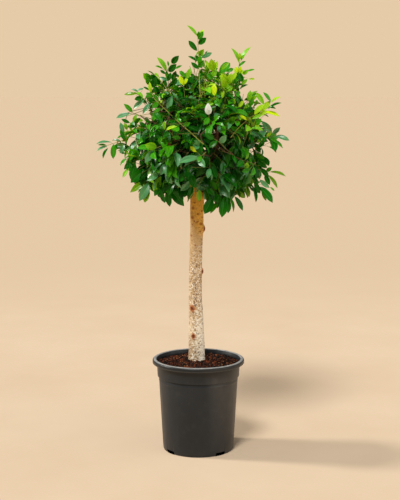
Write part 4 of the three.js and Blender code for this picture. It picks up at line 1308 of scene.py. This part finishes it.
def leaf_template():
    """u, v, side (+1 top, -1 under) for each vertex, and the faces with their material."""
    u, v, s = [0.0], [0.0], [1.0]
    for k in range(ROWS):
        for a in ACROSS:
            u.append(U[k]); v.append(a); s.append(1.0)
        u.append(U[k]); v.append(0.0); s.append(-1.0)
    u.append(1.0); v.append(0.0); s.append(1.0)
    last, e = len(u) - 1, ROWS - 1
    quads, qm, tris, tm = [], [], [], []

    def at(k, j):
        return 1 + 7 * k + j

    for k in range(e):
        for j in range(5):
            quads.append([at(k, j), at(k, j + 1), at(k + 1, j + 1), at(k + 1, j)])
            qm.append(1 if j == 2 else 0)
        quads.append([at(k, 6), at(k, 0), at(k + 1, 0), at(k + 1, 6)]); qm.append(2)
        quads.append([at(k, 5), at(k, 6), at(k + 1, 6), at(k + 1, 5)]); qm.append(2)
    for j in range(5):
        tris.append([0, at(0, j + 1), at(0, j)]); tm.append(1 if j == 2 else 0)
        tris.append([last, at(e, j), at(e, j + 1)]); tm.append(1 if j == 2 else 0)
    tris += [[0, at(0, 0), at(0, 6)], [0, at(0, 6), at(0, 5)], [last, at(e, 6), at(e, 0)], [last, at(e, 5), at(e, 6)]]
    tm += [2, 2, 2, 2]
    return np.array(u), np.array(v), np.array(s), np.array(quads), np.array(qm), np.array(tris), np.array(tm)


LU, LV, LS, LQ, LQM, LT, LTM = leaf_template()
LEFT = [0, len(LU) - 1] + [1 + 7 * k for k in range(ROWS)]
RIGHT = [0, len(LU) - 1] + [6 + 7 * k for k in range(ROWS)]


def blades(leaf):
    """Vertices (leaf, vertex, 3) of many blades at once."""
    base, way, normal, length, width = leaf["base"], leaf["way"], leaf["normal"], leaf["length"], leaf["width"]
    fold, curl, twist, wave, phase, spoon = (leaf[k] for k in ("fold", "curl", "twist", "wave", "phase", "spoon"))
    uu = np.concatenate([[0], U, [1]])
    w = (np.interp(LU, uu, np.concatenate([[0], OVAL, [0]]))[None] * (1 - spoon[:, None])
         + np.interp(LU, uu, np.concatenate([[0], SPOON, [0]]))[None] * spoon[:, None])
    x = LV[None] * w * width[:, None] / 2
    ax = np.abs(x)
    k = np.where(np.abs(curl) < 1e-3, 1e-3, curl)[:, None]
    y = np.sin(k * LU[None]) / k * length[:, None]
    z = -(1 - np.cos(k * LU[None])) / k * length[:, None]
    lift = np.sin(fold)[:, None] * ax + 0.10 * np.sin(np.abs(LV) * math.pi)[None] * w * width[:, None] / 2
    ripple = wave[:, None] * ax * np.sin(LU[None] * 11 + phase[:, None] + np.sign(LV)[None] * 1.3)
    h = lift + ripple + (LS < 0)[None] * -0.00035
    x = x * np.cos(fold)[:, None]
    z2 = z + h * np.cos(k * LU[None])
    y2 = y + h * np.sin(k * LU[None])
    tw = twist[:, None] * LU[None]
    xr = x * np.cos(tw) - (z2 - z) * np.sin(tw)
    zr = z + x * np.sin(tw) + (z2 - z) * np.cos(tw)
    side = unit(np.cross(way, normal))
    return (base[:, None, :] + side[:, None, :] * xr[..., None] + way[:, None, :] * y2[..., None]
            + normal[:, None, :] * zr[..., None])


LEAVES = []
STEMS = []


def add_leaf(at, base, way, normal, length, width, fold, curl, twist, wave, kind, spoon, placed=False):
    LEAVES.append((at, base, way, normal, length, width, fold, curl, twist, wave, rng.random() * TAU, kind, spoon, placed))


def plan_leaves():
    up = np.array([0, 0, 1.0])
    for s in SHOOTS:
        foot, way, L, count = s["foot"], s["way"], s["length"], s["leaves"]
        side = unit(np.cross(way, up + 0.01))
        bendv = unit(np.cross(side, way))
        ts = np.linspace(0, 1, 7)
        sag = 0.35 * s["bend"] - 0.10 * s["droop"]
        path = foot + way * (L * ts)[:, None] + bendv * (sag * L * ts * ts)[:, None]
        STEMS.append((path, 0.00120, 0.00065, s["kind"]))
        phi = rng.random() * TAU
        out0 = unit(foot + way * L - MIDDLE)
        flat = abs(way[2]) < 0.75 and rng.random() < 0.5      # leaves in two rows on a level shoot
        e1 = unit(np.cross(way, up + np.array([0.05, 0.02, 0])))
        e2 = np.cross(e1, way)
        for i in range(count):
            t = 1.0 if i == count - 1 else min(1.0, 0.06 + 0.92 * (i + rng.uniform(0.2, 0.8)) / count)
            at = np.array([np.interp(t, ts, path[:, k]) for k in range(3)])
            phi = phi + (math.pi + rng.normal(0, 0.35) if flat else math.radians(137.5) + rng.normal(0, 0.25))
            a = (0.0 if math.cos(phi) > 0 else math.pi) + rng.normal(0, 0.35) if flat else phi
            lateral = math.cos(a) * e1 + math.sin(a) * e2
            age = 1 - t
            spread = math.radians(22 + 48 * age ** 0.55 + rng.normal(0, 8))
            d = math.cos(spread) * way + math.sin(spread) * lateral
            d = unit(d + np.array([0, 0, -1.0]) * s["droop"] * (0.5 + 0.7 * age) + out0 * 0.12 + rng.normal(0, 0.20, 3))
            facing = unit(0.85 * up + 0.50 * out0 + rng.normal(0, 0.46, 3))
            nrm = facing - d * facing.dot(d)
            if np.linalg.norm(nrm) < 0.2:
                nrm = out0 + up * 0.3 - d * (out0 + up * 0.3).dot(d)
            nrm = unit(nrm)
            young = float(smooth01(t, 0.70, 1.0))
            length = (0.0462 + 0.008 * s["low"] - 0.013 * young + rng.normal(0, 0.0055)) * s["size"]
            length = float(np.clip(length, 0.024, 0.072))
            width = length * rng.uniform(0.44, 0.58) * (1 - 0.24 * young)
            kind = s["kind"]
            if young > 0.5 and kind < LIMEY and s["layer"] == "outer":
                kind += 1 if shade_rng.random() < 0.5 else 0
            elif age > 0.5 and 0 < kind < GOLD and shade_rng.random() < 0.5:
                kind -= 1
            if kind in (DEEP, DARK, GREEN) and shade_rng.random() < 0.13 + 0.17 * s["low"]:
                kind = SHEEN
            if kind in (GREEN, DARK) and s["low"] > 0.5 and shade_rng.random() < 0.10:
                kind = OLIVE
            b = at + d * (0.006 + 0.004 * age)
            add_leaf(at, b, d, nrm, length, width, math.radians(rng.uniform(16, 38) + 8 * young), rng.uniform(0.25, 1.15),
                     rng.normal(0, 0.18), rng.uniform(0.0, 0.10), kind, rng.random())
    view = np.array([0, -1.0, 0])
    for name, (stem, blades_) in SPRAYS.items():
        p = catmull(np.array(stem) / 1000.0, 14)
        STEMS.append((p, IN_VIEW.get(name, 0.0014), 0.5 * IN_VIEW.get(name, 0.0016), -1 if name in IN_VIEW else GREEN))
        for x0, z0, x1, z1, w, kind, depth in blades_:
            base = np.array([x0, depth, z0]) / 1000.0
            tip = np.array([x1, depth, z1]) / 1000.0
            flat_len = np.linalg.norm(tip - base)
            w = w / 1000.0
            true_w = max(w, 0.40 * flat_len)
            true_len = max(flat_len, 1.75 * w)
            tip[1] -= math.sqrt(max(0.0, true_len ** 2 - flat_len ** 2)) + flat_len * rng.uniform(-0.10, 0.22)
            way = unit(tip - base)
            length = np.linalg.norm(tip - base)
            n0 = unit(view - way * view.dot(way))
            m0 = np.cross(way, n0)
            roll = math.acos(min(1.0, w / true_w))
            want = up * 0.8 + unit(base - MIDDLE) * 0.4
            nrm = unit(math.cos(roll) * n0 + math.sin(roll) * m0 * (1 if m0.dot(want) > 0 else -1))
            curl = rng.uniform(0.20, 0.65)
            way, nrm = (math.cos(curl / 2) * way + math.sin(curl / 2) * nrm), (math.cos(curl / 2) * nrm - math.sin(curl / 2) * way)
            length *= (curl / 2) / math.sin(curl / 2)
            at = p[np.argmin(np.linalg.norm(p - base, axis=1))]
            add_leaf(at, base, way, nrm, length, true_w, math.radians(rng.uniform(12, 26)), curl, rng.normal(0, 0.06),
                     rng.uniform(0, 0.05), KINDS.index(kind), rng.random() * 0.8, True)


def make_leaves():
    cols = list(zip(*LEAVES))
    keys = ("at", "base", "way", "normal", "length", "width", "fold", "curl", "twist", "wave", "phase", "kind", "spoon", "placed")
    leaf = {k: np.array(c, float) for k, c in zip(keys, cols)}
    kind, placed = leaf["kind"].astype(int), leaf["placed"] > 0.5
    mids = leaf["base"] + leaf["way"] * (0.5 * leaf["length"])[:, None]
    tips = leaf["base"] + leaf["way"] * leaf["length"][:, None]
    v = blades(leaf)
    keep = placed | (in_sky(v.reshape(-1, 3)).reshape(len(v), -1).mean(1) < 0.12)
    for q in (mids, tips):
        clear = (np.abs(q[:, 0] + 0.006) < 0.030) & (q[:, 2] < 0.888) & (q[:, 1] < 0.0)      # the fork stays in view
        dent = np.zeros(len(q), bool)
        for x, z, r in DENTS:
            dent |= (np.hypot(q[:, 0] - x, q[:, 2] - z) < 0.62 * r) & (q[:, 1] < -0.06)
        keep &= placed | ~(clear | dent)
    for name in ("long_twig", "right_lime", "leader"):                  # nor does a grown leaf hide these stems
        line = catmull(np.array(SPRAYS[name][0]) / 1000.0, 60)
        for t in (0.15, 0.4, 0.65, 0.9):
            q = leaf["base"] + leaf["way"] * (t * leaf["length"])[:, None]
            d = np.hypot(q[:, None, 0] - line[None, :, 0], q[:, None, 2] - line[None, :, 2])
            i = d.argmin(1)
            keep &= placed | (d.min(1) > 0.36 * leaf["width"] + 0.001) | (q[:, 1] > line[i, 1] + 0.008)
    # a placed leaf is not hidden by a grown one
    sx, sz = flat_view(leaf["base"][:, None] + leaf["way"][:, None] * (leaf["length"][:, None] * np.linspace(0.0, 1.0, 6))[..., None])
    for i in np.nonzero(placed)[0]:
        spot = leaf["base"][i] + leaf["way"][i] * leaf["length"][i] * np.array([[0.25], [0.5], [0.75]])
        fx, fz = flat_view(spot)
        near = np.hypot(sx[..., None] - fx, sz[..., None] - fz).min((1, 2)) < 0.30 * leaf["width"][i] + 0.0035
        keep &= placed | ~near | (leaf["base"][:, 1] > spot[1, 1] - 0.004)
    K = len(LU)
    # no leaf may reach more than a little past the crown's measured size
    lo, hi = np.array(CAD_BOX[0]), np.array(CAD_BOX[1])
    room = 0.03 * (hi - lo) + 0.006
    keep &= ((v > lo - room) & (v < hi + room)).all((1, 2))
    per = len(LT) + 2 * len(LQ) + 12
    for k, name in enumerate(KINDS):
        idx = np.nonzero(keep & (kind == k))[0]
        if len(idx) == 0:
            continue
        top, under, rib, gloss = KIND_FINISH[name]
        young = k in (FRESH, LIMEY, GOLD, PALE)
        mats = [plain(f"leaf_{name}", srgb(*top), 0.34 if young or k == SHEEN else 0.25, gloss, sub=0.0 if name == "pale" else 0.35 if young else 0.15),
                plain(f"rib_{name}", srgb(*rib), 0.45, 0.2),
                plain(f"underleaf_{name}", srgb(*under), 0.6, 0.15, sub=0.2)]
        chunk = 190000 // per
        for c in range(0, len(idx), chunk):
            ii = idx[c:c + chunk]
            part = {q: v[ii] for q, v in leaf.items()}
            v = blades(part)
            m = len(ii)
            off = np.arange(m)[:, None, None] * K
            quads, tris = (LQ[None] + off).reshape(-1, 4), (LT[None] + off).reshape(-1, 3)
            qm, tm = np.tile(LQM, m), np.tile(LTM, m)
            a, b = part["at"], part["base"] + part["way"] * 0.002      # the leaf's stalk
            side = unit(np.cross(part["way"], part["normal"]))
            ring = np.stack([math.cos(TAU * q / 3) * side + math.sin(TAU * q / 3) * part["normal"] for q in range(3)], 1)
            pv = np.concatenate([a[:, None] + ring * 0.0008,
                                 (a[:, None] + b[:, None]) / 2 + ring * 0.0006 - np.array([0, 0, 0.0006]),
                                 b[:, None] + ring * 0.0006], 1)
            pq = np.array([[r * 3 + q, r * 3 + (q + 1) % 3, (r + 1) * 3 + (q + 1) % 3, (r + 1) * 3 + q]
                           for r in range(2) for q in range(3)])
            vb = m * K
            quads = np.concatenate([quads, (pq[None] + vb + np.arange(m)[:, None, None] * 9).reshape(-1, 4)])
            qm = np.concatenate([qm, np.ones(m * len(pq), int)])
            ob = mesh_object(f"leaves_{name}_{c // chunk + 1}", np.concatenate([v.reshape(-1, 3), pv.reshape(-1, 3)]),
                             quads, tris, mats, qm, tm)
            me = ob.data
            e = np.zeros(len(me.edges) * 2, np.int32)
            me.edges.foreach_get("vertices", e)
            e = e.reshape(-1, 2)
            loc = e % K
            rim = (e < vb).all(1) & (np.isin(loc, LEFT).all(1) | np.isin(loc, RIGHT).all(1))
            sharp = me.attributes.get("sharp_edge") or me.attributes.new("sharp_edge", "BOOLEAN", "EDGE")
            sharp.data.foreach_set("value", rim)
            piece(ob, "young_leaves" if young else "leaves")


def make_stems():
    groups = {"old": [], "young": [], "straw": []}
    for path, r0, r1, kind in STEMS:
        groups["straw" if kind < 0 else "young" if kind >= FRESH and kind != SHEEN else "old"].append((path, r0, r1))
    for name, colour in (("old", srgb(112, 118, 46)), ("young", srgb(168, 176, 62)), ("straw", srgb(150, 146, 52))):
        V, Q, T, base = [], [], [], 0
        for path, r0, r1 in groups[name]:
            v, q, t = tube(path, np.linspace(r0, r1, len(path)), 5)
            V.append(v); Q.append(q + base); T.append(t + base); base += len(v)
        if V:
            ob = mesh_object(f"shoots_{name}", np.concatenate(V), np.concatenate(Q), np.concatenate(T),
                             materials=[mottled(f"shoot_{name}", colour, 0.72, 1.18, 120.0, 0.5, 0.35)])
            piece(ob, "young_leaves")


plan_leaves()
make_leaves()
make_stems()
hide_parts(*[n for n in NODES if n.startswith(("foliage_", "spray_"))])

bpy.context.view_layer.update()
